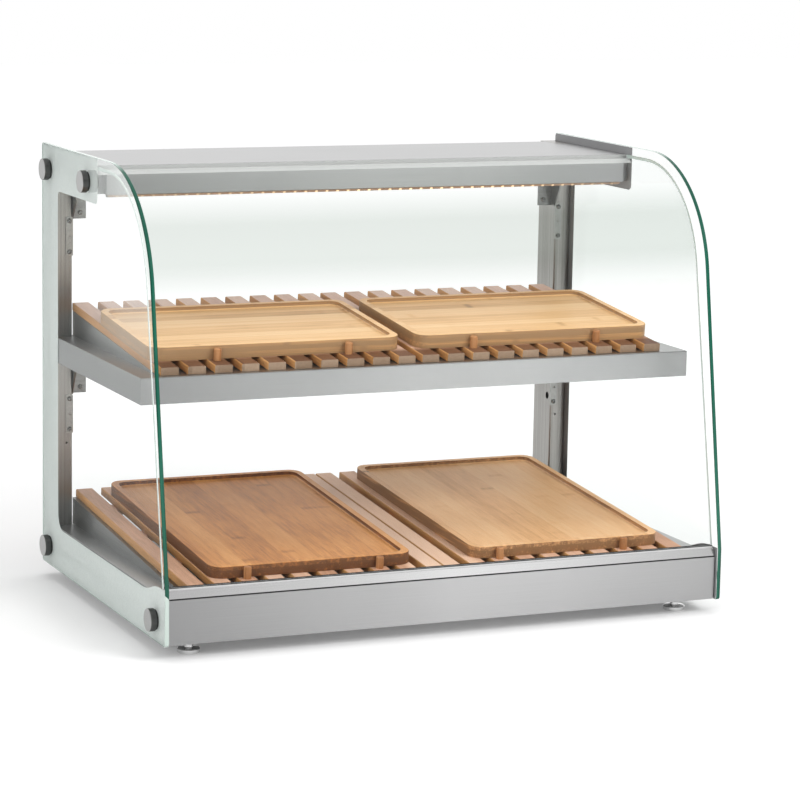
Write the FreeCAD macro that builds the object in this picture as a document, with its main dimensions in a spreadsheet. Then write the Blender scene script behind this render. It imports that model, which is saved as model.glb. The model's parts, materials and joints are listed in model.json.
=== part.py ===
import FreeCAD, Part
import math
import os

import Sketcher
from FreeCAD import Placement, Rotation, Vector

# Counter-top display case with two sloping tiers behind curved glass, open at the back.
# Millimetres, +X right, +Y to the open back, +Z up, origin on the counter under the middle of the case.

SIZES = {
    # Whole case
    "case_depth": 572, "case_height": 658, "body_width": 844, "sheet_gauge": 1.2, "body_lift": 22,
    # Side panes
    "pane_thick": 6, "pane_lift": 21, "side_gap": 0.6, "nose_ahead": 6, "knee_height": 97,
    "pane_lean": 9.2, "pane_level": 57.8, "pane_corner": 5,
    # Printed border on the inner face of each side pane
    "border_thick": 0.3, "border_inset": 1, "strip_width": 75, "arm_height": 66, "arm_ahead": 1,
    "band_height": 64, "band_rise": 13.6, "band_rise_run": 75, "band_rise_start": 20, "arm_corner": 9,
    "strip_corner": 25,
    # Round caps that clamp the side panes
    "cap_diameter": 32, "cap_thick": 9, "cap_edge": 0.8, "washer_diameter": 28, "washer_thick": 3,
    "stud_diameter": 8, "stud_length": 27, "stud_play": 0.3, "glass_hole": 12, "cap_top_drop": 37,
    "cap_low_height": 52, "cap_back_setback": 38, "cap_arm_setback": 41, "cap_low_front": 34,
    # Base
    "panel_top": 84.5, "panel_top_return": 21, "panel_low_return": 15, "wall_back_setback": 3,
    "deck_top": 87, "seal_thick": 2, "sill_depth": 20.3, "sill_foot": 0.4, "sill_lean": 4.6,
    "sill_top": 97, "sill_wall": 1.6,
    # Front pane
    "front_thick": 5, "front_foot": 9.5, "front_lean": 10.2, "front_level": 67.6, "front_seat_gap": 0.3,
    "front_end_gap": 2, "front_side_gap": 1, "gasket_floor": 2, "gasket_lip": 1.2,
    "gasket_lip_height": 1.2, "gasket_play": 0.3,
    # Feet
    "foot_diameter": 32, "foot_rim": 7, "foot_edge": 1.2, "foot_dome": 1.5, "foot_collar": 12,
    "foot_collar_height": 3.5, "foot_stud": 8, "foot_stud_top": 44, "foot_side_setback": 44,
    "foot_front_setback": 41, "foot_back_setback": 46, "insert_flange": 20, "insert_flange_thick": 1.5,
    "insert_barrel": 13, "insert_height": 14, "foot_play": 0.05,
    # Rear posts
    "post_width": 26, "post_depth": 61, "post_wall": 1.5, "post_corner": 2.5, "post_hole": 11,
    "post_hole_drop": 132.5, "post_hole_setback": 12, "post_pilot": 3.2, "post_pilot_drop": 161.5,
    "post_pilot_side": 17,
    # Clamp plates and pan-head screws on the posts
    "plate_width": 11, "plate_height": 58, "plate_thick": 1.5, "plate_hole": 4, "plate_inset": 4.7,
    "plate_high_drop": 82.5, "plate_low_drop": 117.5, "screw_pitch": 46, "screw_head": 7.4,
    "screw_head_thick": 2.2, "screw_shank": 4, "screw_length": 9, "screw_play": 0.1,
    # Brackets
    "bracket_gauge": 2, "bracket_flange": 25, "bracket_setback": 14, "bracket_drop": 58,
    "shelf_bracket_drop": 87, "gusset_ahead": 17, "gusset_foot": 2, "shelf_arm": 120,
    "shelf_arm_height": 18, "bracket_top_flange": 20, "bracket_ledge_back": 9,
    "bracket_screw_inset": 16, "bracket_screw_low": 9, "bracket_screw_pitch": 26,
    # Shelf
    "shelf_front": 107, "shelf_top": 373.5, "shelf_lip": 37.5, "shelf_back_setback": 50,
    "shelf_post_gap": 1, "shelf_web_gap": 2.5, "shelf_round": 1.5,
    # Canopy
    "canopy_depth": 248, "canopy_back_setback": 17, "canopy_drop": 12.5, "canopy_height": 40,
    "ledge_drop": 5.5, "ledge_depth": 17, "canopy_bevel": 6, "canopy_side_gap": 0.2,
    "canopy_post_gap": 0.6, "canopy_notch_width": 13.4, "canopy_notch_depth": 13, "liner_gap": 0.3,
    "cable_hole": 10, "cable_hole_rise": 21.5,
    # Light
    "led_rail_width": 14, "led_rail_slope": 6, "led_rail_height": 4.5, "led_rail_side_gap": 17,
    "led_rail_setback": 2, "led_board_width": 5, "led_board_thick": 0.5, "led_pitch": 16.67,
    "led_length": 3.5, "led_width": 2.8, "led_thick": 1,
    # Slatted racks
    "slat_width": 26, "slat_thick": 11, "slat_count": 10, "slat_edge": 1, "rack_margin": 39.6,
    "rack_back_setback": 51, "rack_play": 0.15, "batten_width": 28, "batten_thick": 8, "batten_gap": 2,
    "peg_diameter": 11, "peg_height": 17, "peg_socket": 7, "peg_play": 0.05, "peg_near_count": 2,
    "peg_far_count": 7, "batten_clear": 20, "upper_batten_count": 2, "lower_batten_count": 3,
    "batten_back_setback": 84, "upper_rack_front": 120, "upper_tilt": 5.42, "upper_rack_side_gap": 29,
    "upper_rack_offset": 0.5, "upper_peg": 28, "lower_rack_front": 22, "lower_tilt": 4.64,
    "lower_rack_side_gap": 34.6, "lower_rack_offset": -3, "lower_peg": 13.2,
    # Wedge rails under the racks
    "rail_side_setback": 28.5, "rail_flange": 18, "rail_foot": 14, "rail_lead": 26,
    "rail_back_setback": 3, "middle_flange": 26,
    # Boards
    "board_rim": 10, "board_recess": 6, "board_corner": 20, "board_cove": 3.5, "board_edge": 1.2,
    "upper_board_spare": 6.4, "upper_board_depth": 238, "upper_board_thick": 20,
    "upper_left_board_shift": -1.6, "upper_right_board_shift": 6, "lower_board_spare": 80.4,
    "lower_board_depth": 450, "lower_board_thick": 17, "lower_left_board_shift": 41.4,
    "lower_right_board_shift": 52,
    # Power and wiring in the base
    "driver_length": 150, "driver_width": 44, "driver_height": 30, "driver_ear": 12,
    "driver_ear_thick": 3, "driver_ear_hole": 4.5, "driver_inlet_gap": 20, "driver_back_setback": 150,
    "inlet_side_setback": 122, "inlet_height": 54, "inlet_face_width": 46, "inlet_face_height": 26,
    "inlet_face_thick": 2.4, "inlet_body_width": 27, "inlet_body_height": 20, "inlet_body_depth": 26,
    "inlet_mouth": 1.8, "inlet_mouth_depth": 17, "inlet_pin_width": 4, "inlet_pin_height": 2,
    "inlet_pin_length": 14, "inlet_pin_spread": 7, "inlet_pin_rise": 3, "switch_side_setback": 172,
    "switch_face_width": 15, "switch_face_height": 25, "switch_face_thick": 2.4,
    "switch_body_width": 12.6, "switch_body_height": 21, "switch_body_depth": 20, "rocker_width": 9.6,
    "rocker_radius": 9, "rocker_play": 0.35, "rocker_proud": 2.2, "rocker_dip": 1.6, "wall_play": 0.25,
    "wire_diameter": 5,
    "wire_bend": 16, "wire_slack": 35.2, "wire_detour": 105.6, "live_aside": 7.5, "post_cable_hole": 12,
}

doc = FreeCAD.newDocument("display_case")
sheet = doc.addObject("Spreadsheet::Sheet", "sizes")
for row, (alias, number) in enumerate(SIZES.items(), start=1):
    sheet.set(f"A{row}", str(number))
    sheet.setAlias(f"A{row}", alias)
doc.recompute()


class Size:
    """A length or an angle that knows its number and the sheet expression behind it."""

    def __init__(self, number, text):
        self.number = float(number)
        self.text = text

    def joined(self, other, sign, number, turned=False):
        other = as_size(other)
        first, second = (other, self) if turned else (self, other)
        return Size(number(first.number, second.number), f"({first.text} {sign} {second.text})")

    def __add__(self, other):
        return self.joined(other, "+", lambda a, b: a + b)

    def __radd__(self, other):
        return self.joined(other, "+", lambda a, b: a + b, True)

    def __sub__(self, other):
        return self.joined(other, "-", lambda a, b: a - b)

    def __rsub__(self, other):
        return self.joined(other, "-", lambda a, b: a - b, True)

    def __mul__(self, other):
        return self.joined(other, "*", lambda a, b: a * b)

    def __rmul__(self, other):
        return self.joined(other, "*", lambda a, b: a * b, True)

    def __truediv__(self, other):
        return self.joined(other, "/", lambda a, b: a / b)

    def __neg__(self):
        return Size(-self.number, f"(-1 * {self.text})")


def as_size(value):
    return value if isinstance(value, Size) else Size(value, repr(value))


def size(alias):
    return Size(sheet.get(alias), f"sizes.{alias}")


def turned(function, name, angle):
    return Size(function(math.radians(angle.number)), f"{name}({angle.text})")


def sine(angle):
    return turned(math.sin, "sin", angle)


def cosine(angle):
    return turned(math.cos, "cos", angle)


def tangent(angle):
    return turned(math.tan, "tan", angle)


def whole(value):
    return Size(math.floor(value.number), f"floor({value.text})")


def bind(target, name, value):
    target.setExpression(name, as_size(value).text)


# Bodies, sketches and features

def new_body(label):
    body = doc.addObject("PartDesign::Body", label)
    body.Label = label
    return body


def origin_part(body, role):
    return [part for part in body.Origin.OriginFeatures if part.Role == role][0]


def new_sketch(body, role, offset=None):
    """A sketch on an origin plane of the body, or at an offset along that plane's normal."""
    sketch = body.newObject("Sketcher::SketchObject", f"{body.Name}_outline")
    sketch.AttachmentSupport = [(origin_part(body, role), "")]
    sketch.MapMode = "FlatFace"
    if offset is not None:
        sketch.AttachmentOffset = Placement(Vector(0, 0, offset.number), Rotation())
        bind(sketch, "AttachmentOffset.Base.z", offset)
    return sketch


def tie(sketch, kind, refs, value):
    index = sketch.addConstraint(Sketcher.Constraint(kind, *refs, value.number))
    bind(sketch, f"Constraints[{index}]", value)


def locate(sketch, element, end, across, up):
    tie(sketch, "DistanceX", (-1, 1, element, end), across)
    tie(sketch, "DistanceY", (-1, 1, element, end), up)


def trace(sketch, corners):
    """Closes an outline through (across, up) corners. A third value is the radius of the edge that
    leaves the corner: its centre lies to the left of the way round if positive, else to the right."""
    corners = [tuple(as_size(value) for value in corner) for corner in corners]
    points = [Vector(corner[0].number, corner[1].number, 0) for corner in corners]
    first = sketch.GeometryCount
    ends = []
    for place, corner in enumerate(corners):
        start, end = points[place], points[(place + 1) % len(points)]
        if len(corner) < 3:
            sketch.addGeometry(Part.LineSegment(start, end), False)
            ends.append((1, 2))
            continue
        radius = corner[2].number
        chord = end - start
        reach = math.sqrt(max(radius * radius - chord.Length * chord.Length / 4, 0.0))
        left = Vector(-chord.y, chord.x, 0).normalize()
        centre = (start + end) / 2 + left * math.copysign(reach, radius)
        ways = (start, end) if radius > 0 else (end, start)
        angles = [math.atan2(way.y - centre.y, way.x - centre.x) for way in ways]
        circle = Part.Circle(centre, Vector(0, 0, 1), abs(radius))
        sketch.addGeometry(Part.ArcOfCircle(circle, angles[0], angles[1]), False)
        ends.append((1, 2) if radius > 0 else (2, 1))
    for place in range(len(corners)):
        after = (place + 1) % len(corners)
        refs = (first + place, ends[place][1], first + after, ends[after][0])
        sketch.addConstraint(Sketcher.Constraint("Coincident", *refs))
    for place, corner in enumerate(corners):
        locate(sketch, first + place, ends[place][0], corner[0], corner[1])
        if len(corner) == 3:
            radius = corner[2] if corner[2].number > 0 else -corner[2]
            tie(sketch, "Radius", (first + place,), radius)


def rectangle(sketch, left, right, low, high):
    trace(sketch, [(left, low), (right, low), (right, high), (left, high)])


def round_rectangle(sketch, left, right, low, high, radius):
    trace(sketch, [
        (left + radius, low), (right - radius, low, radius),
        (right, low + radius), (right, high - radius, radius),
        (right - radius, high), (left + radius, high, radius),
        (left, high - radius), (left, low + radius, radius)])


def rings(sketch, places, diameter):
    for across, up in places:
        centre = Vector(across.number, up.number, 0)
        index = sketch.addGeometry(Part.Circle(centre, Vector(0, 0, 1), diameter.number / 2), False)
        locate(sketch, index, 3, across, up)
        tie(sketch, "Radius", (index,), diameter / 2)


def pad(body, sketch, length, backwards=False):
    feature = body.newObject("PartDesign::Pad", f"{body.Name}_pad")
    feature.Profile = sketch
    feature.Reversed = backwards
    bind(feature, "Length", length)
    return feature


def cut(body, sketch, length, backwards=False):
    """A pocket that has to remove something, or the build stops."""
    doc.recompute()
    before = body.Shape.Volume
    feature = body.newObject("PartDesign::Pocket", f"{body.Name}_cut")
    feature.Profile = sketch
    feature.Reversed = backwards
    bind(feature, "Length", length)
    doc.recompute()
    if not feature.Shape.Volume < before:
        raise RuntimeError(f"{body.Label}: a cut removed nothing")
    return feature


def soften(body, kind, amount, wanted):
    """Rounds (Fillet) or bevels (Chamfer) the edges of the body's tip for which wanted is true."""
    doc.recompute()
    base = body.Tip
    names = [f"Edge{place}" for place, edge in enumerate(base.Shape.Edges, start=1) if wanted(edge)]
    feature = body.newObject(f"PartDesign::{kind}", f"{body.Name}_{kind.lower()}")
    feature.Base = (base, names)
    bind(feature, "Radius" if kind == "Fillet" else "Size", amount)
    return feature


def hollow(body, wall, wanted):
    """Leaves a sheet-metal shell, open at the faces for which wanted is true."""
    doc.recompute()
    base = body.Tip
    names = [f"Face{place}" for place, face in enumerate(base.Shape.Faces, start=1) if wanted(face)]
    feature = body.newObject("PartDesign::Thickness", f"{body.Name}_shell")
    feature.Base = (base, names)
    feature.Reversed = True
    feature.Mode = 0
    feature.Join = 1
    bind(feature, "Value", wall)
    return feature


def row(body, role, count, length):
    """Repeats the whole body along one of its axes."""
    original = body.Tip
    pattern = body.newObject("PartDesign::LinearPattern", f"{body.Name}_row")
    pattern.Originals = [original]
    pattern.TransformMode = "Whole shape"
    pattern.Direction = (origin_part(body, role), [""])
    bind(pattern, "Occurrences", count)
    bind(pattern, "Length", length)
    body.Tip = pattern
    return pattern


def seat(target, across=0, along=0, up=0, tilt=None):
    if tilt is not None:
        target.Placement = Placement(Vector(0, 0, 0), Rotation(Vector(1, 0, 0), tilt.number))
    for name, value in (("x", across), ("y", along), ("z", up)):
        bind(target, f"Placement.Base.{name}", value)


def along_x(edge, tolerance=1e-6):
    box = edge.BoundBox
    return box.YLength < tolerance and box.ZLength < tolerance


# Shared places. Setbacks are measured from the front panel or from the panes' back edge.

half_depth = size("case_depth") / 2
half_body = size("body_width") / 2
gauge = size("sheet_gauge")
front = size("nose_ahead") - half_depth
pane_inner = half_body + size("side_gap")
pane_outer = pane_inner + size("pane_thick")
post_front = half_depth - size("post_depth")
post_inner = half_body - size("post_width")
wall_back = half_depth - size("wall_back_setback")
canopy_back = half_depth - size("canopy_back_setback")
canopy_face = canopy_back - size("canopy_depth")
canopy_top = size("case_height") - size("canopy_drop")
canopy_bottom = canopy_top - size("canopy_height")
canopy_ledge = canopy_top - size("ledge_drop")
ledge_back = canopy_face + size("ledge_depth")
cable_level = canopy_bottom + size("cable_hole_rise")
light_front = canopy_face + size("led_rail_setback")
light_length = size("body_width") - 2 * size("led_rail_side_gap")
rack_back = half_depth - size("rack_back_setback")
rack_width = half_body - size("rack_margin")
slat_pitch = (rack_width - size("slat_width")) / (size("slat_count") - 1)
rail_span = half_body - size("rail_side_setback")
plate_levels = (canopy_bottom - size("plate_high_drop"), size("shelf_top") - size("plate_low_drop"))
socket_middles = {name: half_body - size(f"{name}_side_setback") for name in ("inlet", "switch")}
driver_left = socket_middles["inlet"] - size("driver_inlet_gap") - size("driver_length")
cap_high = size("case_height") - size("cap_top_drop")
cap_places = [
    (half_depth - size("cap_back_setback"), cap_high),
    (canopy_face + size("cap_arm_setback"), cap_high),
    (half_depth - size("cap_back_setback"), size("cap_low_height")),
    (front + size("cap_low_front"), size("cap_low_height"))]
stud_hole = size("stud_diameter") + 2 * size("stud_play")
SIDES = (("left", -1), ("right", 1))


# Side panes: an upright back edge, a level top, one large arc, a leaning front and a knee at the base

def turn_level(corner, top, lean, level):
    """The arc that turns a leaning line into a level one: its two tangent points and its radius."""
    reach = level - corner
    low = (corner - reach * sine(lean), top - reach * cosine(lean))
    return low, (level, top), reach / tangent((90 - lean) / 2)


def pane_arc():
    """The arc between the leaning front edge and the level top edge of a side pane."""
    lean, top = size("pane_lean"), size("case_height")
    corner = (top - size("knee_height")) * tangent(lean) - half_depth
    return turn_level(corner, top, lean, canopy_face - size("pane_level"))


def side_glass(name, side):
    body = new_body(f"side_glass_{name}")
    sketch = new_sketch(body, "YZ_Plane")
    low, high, radius = pane_arc()
    bottom, corner = size("pane_lift"), size("pane_corner")
    trace(sketch, [
        (corner - half_depth, bottom), (half_depth - corner, bottom, corner), (half_depth, bottom + corner),
        (half_depth, size("case_height") - corner, corner), (half_depth - corner, size("case_height")),
        (high[0], high[1], radius), low, (-half_depth, size("knee_height")),
        (-half_depth, bottom + corner, corner)])
    rings(sketch, cap_places, size("glass_hole"))
    pad(body, sketch, size("pane_thick"), side < 0)
    seat(body, across=side * pane_inner)


def side_border(name, side):
    """The opaque print: a back strip, a short arm along the top and a band that rises towards the front."""
    body = new_body(f"side_border_{name}")
    sketch = new_sketch(body, "YZ_Plane")
    inset, corner = size("border_inset"), size("pane_corner")
    low, top = size("pane_lift") + inset, size("case_height") - inset
    nose, back = inset - half_depth, half_depth - inset
    strip = half_depth - size("strip_width")
    arm, arm_low = canopy_face - size("arm_ahead"), size("case_height") - size("arm_height")
    band = size("pane_lift") + size("band_height")
    run, rise = size("band_rise_run") / 2, size("band_rise") / 2
    sweep = (run * run + rise * rise) / (2 * rise)
    ramp = front + size("band_rise_start")
    small, large = size("arm_corner"), size("strip_corner")
    trace(sketch, [
        (nose + corner, low), (back - corner, low, corner), (back, low + corner),
        (back, top - corner, corner), (back - corner, top), (arm, top), (arm, arm_low + small, small),
        (arm + small, arm_low), (strip - small, arm_low, -small), (strip, arm_low - small),
        (strip, band + large, -large), (strip - large, band), (ramp + 2 * run, band, -sweep),
        (ramp + run, band + rise, sweep), (ramp, band + 2 * rise), (nose + inset, band + 2 * rise),
        (nose, low + corner, corner)])
    rings(sketch, cap_places, size("glass_hole"))
    pad(body, sketch, size("border_thick"), side > 0)
    seat(body, across=side * pane_inner)


def standoff_caps(name, side):
    """Four round metal heads, each with the stud that goes through the pane into the steelwork."""
    body = new_body(f"standoff_caps_{name}")
    sketch = new_sketch(body, "YZ_Plane")
    rings(sketch, cap_places, size("cap_diameter"))
    pad(body, sketch, size("cap_thick"), side < 0)
    doc.recompute()
    outer = side * size("cap_thick").number
    soften(body, "Chamfer", size("cap_edge"), lambda edge: abs(edge.BoundBox.Center.x - outer) < 1e-6)
    stud = new_sketch(body, "YZ_Plane")
    rings(stud, cap_places, size("stud_diameter"))
    pad(body, stud, size("stud_length"), side > 0)
    seat(body, across=side * (pane_outer + size("washer_thick")))


def standoff_gaskets():
    """The dark washers between the caps and the glass, four on each side."""
    halves = []
    for name, side in SIDES:
        body = new_body(f"washers_{name}")
        sketch = new_sketch(body, "YZ_Plane")
        rings(sketch, cap_places, size("washer_diameter"))
        rings(sketch, cap_places, stud_hole)
        pad(body, sketch, size("washer_thick"), side < 0)
        seat(body, across=side * pane_outer)
        halves.append(body)
    group("standoff_gaskets", halves)


def group(label, members):
    compound = doc.addObject("Part::Compound", label)
    compound.Label = label
    compound.Links = members
    return compound


# Base: a folded pan, a deck, a front panel with returns, and the sill that carries the front pane

foot_places = [
    (side * (half_body - size("foot_side_setback")), place)
    for place in (front + size("foot_front_setback"), half_depth - size("foot_back_setback"))
    for _, side in SIDES]


def base_pan():
    body = new_body("base_pan")
    sketch = new_sketch(body, "XY_Plane")
    rectangle(sketch, -half_body, half_body, front + size("panel_low_return") + size("wall_play"), wall_back)
    pad(body, sketch, size("deck_top") - gauge - size("body_lift"))
    low_front = (front + size("panel_low_return") + size("wall_play")).number
    height = (size("deck_top") - gauge - size("body_lift")).number

    def open_face(face):
        centre = face.CenterOfMass
        return abs(centre.z - height) < 1e-6 or abs(centre.y - low_front) < 1e-6

    hollow(body, gauge, open_face)
    feet = new_sketch(body, "XY_Plane")
    rings(feet, foot_places, size("insert_barrel") + 2 * size("wall_play"))
    cut(body, feet, 2 * gauge, True)
    studs = new_sketch(body, "YZ_Plane")
    rings(studs, [(along, up - size("body_lift")) for along, up in cap_places[2:]], stud_hole)
    sideways = cut(body, studs, size("body_width"))
    sideways.SideType = "Symmetric"
    bind(sideways, "Length", 2 * size("body_width"))
    rear = new_sketch(body, "XZ_Plane")
    for prefix in ("inlet", "switch"):
        middle, level = socket_middles[prefix], size("inlet_height") - size("body_lift")
        reach = size(f"{prefix}_body_width") / 2 + size("wall_play")
        rise = size(f"{prefix}_body_height") / 2 + size("wall_play")
        rectangle(rear, middle - reach, middle + reach, level - rise, level + rise)
    cut(body, rear, half_depth)
    seat(body, up=size("body_lift"))


def base_deck():
    """The flat top of the base: posts and rails stand on it, and the light's cable comes up through it."""
    body = new_body("base_deck")
    sketch = new_sketch(body, "XY_Plane")
    start = front + size("sill_depth") + size("wall_play")
    rectangle(sketch, -half_body, half_body, start, wall_back)
    rings(sketch, [cable_place], size("post_cable_hole"))
    pad(body, sketch, gauge)
    seat(body, up=size("deck_top") - gauge)


cable_place = (half_body - size("post_width") / 2, half_depth - size("post_depth") / 2)


def base_front_panel():
    body = new_body("base_front_panel")
    sketch = new_sketch(body, "YZ_Plane")
    low, top = size("body_lift"), size("panel_top")
    low_fold, top_fold = front + size("panel_low_return"), front + size("panel_top_return")
    trace(sketch, [
        (front, low), (low_fold, low), (low_fold, low + gauge), (front + gauge, low + gauge),
        (front + gauge, top - gauge), (top_fold, top - gauge), (top_fold, top), (front, top)])
    pad(body, sketch, size("body_width") - 2 * gauge)
    seat(body, across=gauge - half_body)


def glass_sill():
    """A hollow profile with a leaning bright face. The front pane's gasket lies on its flat top."""
    body = new_body("glass_sill")
    sketch = new_sketch(body, "YZ_Plane")
    low, top = size("panel_top") + size("seal_thick"), size("sill_top")
    face, back = front + size("sill_foot"), front + size("sill_depth")
    wall = size("sill_wall")
    trace(sketch, [(face, low), (back, low), (back, top), (face + size("sill_lean"), top)])
    trace(sketch, [
        (face + 2 * wall, low + wall), (back - wall, low + wall), (back - wall, top - wall),
        (face + size("sill_lean") + wall, top - wall)])
    pad(body, sketch, size("body_width") - 2 * gauge)
    seat(body, across=gauge - half_body)


def front_foot_slope():
    return size("front_thick") / cosine(size("front_lean"))


def sill_seals():
    """Two black rubber strips: a channel round the pane's lower edge, and a seal under the sill."""
    channel = new_body("pane_channel")
    sketch = new_sketch(channel, "YZ_Plane")
    low, play = size("sill_top"), size("gasket_play")
    floor, lip = low + size("gasket_floor"), size("gasket_lip")
    crest = floor + size("gasket_lip_height")
    lean = tangent(size("front_lean")) * size("gasket_lip_height")
    pane_front = front + size("front_foot")
    pane_back = pane_front + front_foot_slope()
    trace(sketch, [
        (pane_front - play - lip, low), (pane_back + play + lip, low), (pane_back + play + lip + lean, crest),
        (pane_back + play + lean, crest), (pane_back + play, floor), (pane_front - play, floor),
        (pane_front - play + lean, crest), (pane_front - play - lip + lean, crest)])
    pad(channel, sketch, size("body_width") - 2 * gauge)
    seat(channel, across=gauge - half_body)
    strip = new_body("sill_strip")
    flat = new_sketch(strip, "YZ_Plane")
    top = size("panel_top")
    rectangle(flat, front + gauge, front + size("panel_top_return") - gauge, top, top + size("seal_thick"))
    pad(strip, flat, size("body_width") - 2 * gauge)
    seat(strip, across=gauge - half_body)
    group("sill_seals", [channel, strip])


def front_glass():
    """One bent pane: a leaning flat, an arc tangent to it and a level end that lies on the canopy's ledge."""
    body = new_body("front_glass")
    sketch = new_sketch(body, "YZ_Plane")
    lean, thick = size("front_lean"), size("front_thick")
    top, foot = canopy_ledge + size("front_seat_gap") + thick, front + size("front_foot")
    bottom = size("sill_top") + size("gasket_floor") + size("gasket_play") / 2
    corner = foot + (top - bottom) * tangent(lean)
    end = ledge_back - size("front_end_gap")
    level = end - size("front_level")
    low, _, radius = turn_level(corner, top, lean, level)
    trace(sketch, [
        (foot, bottom), (foot + front_foot_slope(), bottom),
        (low[0] + thick * cosine(lean), low[1] - thick * sine(lean), thick - radius), (level, top - thick),
        (end, top - thick), (end, top), (level, top, radius), low])
    width = 2 * (pane_inner - size("front_side_gap"))
    pad(body, sketch, width)
    seat(body, across=-width / 2)


def foot(label, across, along):
    """A levelling foot: flat disc with a low dome, a collar and a threaded stud."""
    body = new_body(label)
    sketch = new_sketch(body, "XZ_Plane")
    rim, collar, stud = size("foot_diameter") / 2, size("foot_collar") / 2, size("foot_stud") / 2
    edge, deck = size("foot_edge"), size("foot_rim")
    dome = deck + size("foot_dome")
    shoulder = dome + size("foot_collar_height")
    trace(sketch, [
        (0, 0), (rim - edge, 0), (rim, edge), (rim, deck - edge), (rim - edge, deck), (collar, dome),
        (collar, shoulder), (stud, shoulder), (stud, size("foot_stud_top")), (0, size("foot_stud_top"))])
    turn = body.newObject("PartDesign::Revolution", f"{label}_turn")
    turn.Profile = sketch
    turn.ReferenceAxis = (sketch, ["V_Axis"])
    turn.Angle = 360
    seat(body, across=across, along=along)


def foot_inserts():
    """Threaded sleeves pressed into the floor of the pan, one for each foot."""
    body = new_body("foot_inserts")
    flange = new_sketch(body, "XY_Plane")
    rings(flange, foot_places, size("insert_flange"))
    pad(body, flange, size("insert_flange_thick"), True)
    barrel = new_sketch(body, "XY_Plane")
    rings(barrel, foot_places, size("insert_barrel"))
    pad(body, barrel, size("insert_height") - size("insert_flange_thick"))
    bore = new_sketch(body, "XY_Plane")
    rings(bore, foot_places, size("foot_stud") + 2 * size("foot_play"))
    through = cut(body, bore, size("insert_height"))
    through.SideType = "Symmetric"
    bind(through, "Length", 4 * size("insert_height"))
    seat(body, up=size("body_lift"))


# Rear posts with the fixings for shelf and canopy

def post(name, side):
    """A closed rectangular tube. It has a hole for another shelf height and a small pilot hole in front."""
    body = new_body(f"post_{name}")
    sketch = new_sketch(body, "XY_Plane")
    width, wall = size("post_width"), size("post_wall")
    near, far = (half_body - width, half_body) if side > 0 else (-half_body, width - half_body)
    round_rectangle(sketch, near, far, post_front, half_depth, size("post_corner"))
    height = canopy_top - size("deck_top")
    pad(body, sketch, height)
    core = new_sketch(body, "XY_Plane")
    rectangle(core, near + wall, far - wall, post_front + wall, half_depth - wall)
    cut(body, core, height - wall, True)
    across = new_sketch(body, "YZ_Plane")
    base = size("deck_top")
    spare = size("shelf_top") - size("post_hole_drop") - base
    rings(across, [(post_front + size("post_hole_setback"), spare)], size("post_hole"))
    rings(across, [(cable_place[1], cable_level - base)], size("cable_hole"))
    cut(body, across, half_body - width / 2, side > 0)
    outer = new_sketch(body, "YZ_Plane", side * (half_body - width / 2))
    rings(outer, [(cap_places[0][0], cap_places[0][1] - base)], stud_hole)
    cut(body, outer, width, side > 0)
    face = new_sketch(body, "XZ_Plane")
    middle = side * (half_body - size("post_pilot_side"))
    rings(face, [(middle, size("shelf_top") - size("post_pilot_drop") - base)], size("post_pilot"))
    plate = side * (post_inner + size("plate_inset"))
    holes = [(plate, level - base) for level in screw_levels()]
    rings(face, holes, size("screw_shank") + 2 * size("screw_play"))
    cut(body, face, post_front + 2 * wall)
    seat(body, up=base)


def screw_levels():
    half = size("screw_pitch") / 2
    return [level + way * half for level in plate_levels for way in (1, -1)]


def clamp_plates():
    members = []
    for name, side in SIDES:
        body = new_body(f"plates_{name}")
        sketch = new_sketch(body, "XZ_Plane")
        middle, half = side * (post_inner + size("plate_inset")), size("plate_width") / 2
        for level in plate_levels:
            rise = size("plate_height") / 2
            round_rectangle(sketch, middle - half, middle + half, level - rise, level + rise, half / 3)
            rings(sketch, [(middle, level)], size("plate_hole"))
        places = [(middle, level) for level in screw_levels()]
        rings(sketch, places, size("screw_shank") + 2 * size("screw_play"))
        pad(body, sketch, size("plate_thick"))
        seat(body, along=post_front)
        members.append(body)
    group("clamp_plates", members)


def screw_set(label, places, face):
    """Pan-head screws driven towards the back, their heads on the given face."""
    body = new_body(label)
    heads = new_sketch(body, "XZ_Plane")
    rings(heads, places, size("screw_head"))
    pad(body, heads, size("screw_head_thick"))
    thick = size("screw_head_thick")
    soften(body, "Chamfer", thick / 2, lambda edge: abs(edge.BoundBox.Center.y + thick.number) < 1e-6)
    shanks = new_sketch(body, "XZ_Plane")
    rings(shanks, places, size("screw_shank"))
    pad(body, shanks, size("screw_length"), True)
    seat(body, along=face)
    return body


def pan_screws():
    inset = post_inner + size("plate_inset")
    plates = [(side * inset, level) for _, side in SIDES for level in screw_levels()]
    members = [screw_set("plate_screws", plates, post_front - size("plate_thick"))]
    flanges = []
    for top, drop in bracket_levels():
        for _, side in SIDES:
            for step in (0, 1):
                level = top - drop + size("bracket_screw_low") + step * size("bracket_screw_pitch")
                flanges.append((side * (post_inner - size("bracket_screw_inset")), level))
    flange_face = post_front + size("bracket_setback") - size("bracket_gauge")
    members.append(screw_set("flange_screws", flanges, flange_face))
    group("pan_screws", members)


def bracket_levels():
    shelf_under = size("shelf_top") - gauge
    return ((canopy_bottom, size("bracket_drop")), (shelf_under, size("shelf_bracket_drop")))


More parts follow.
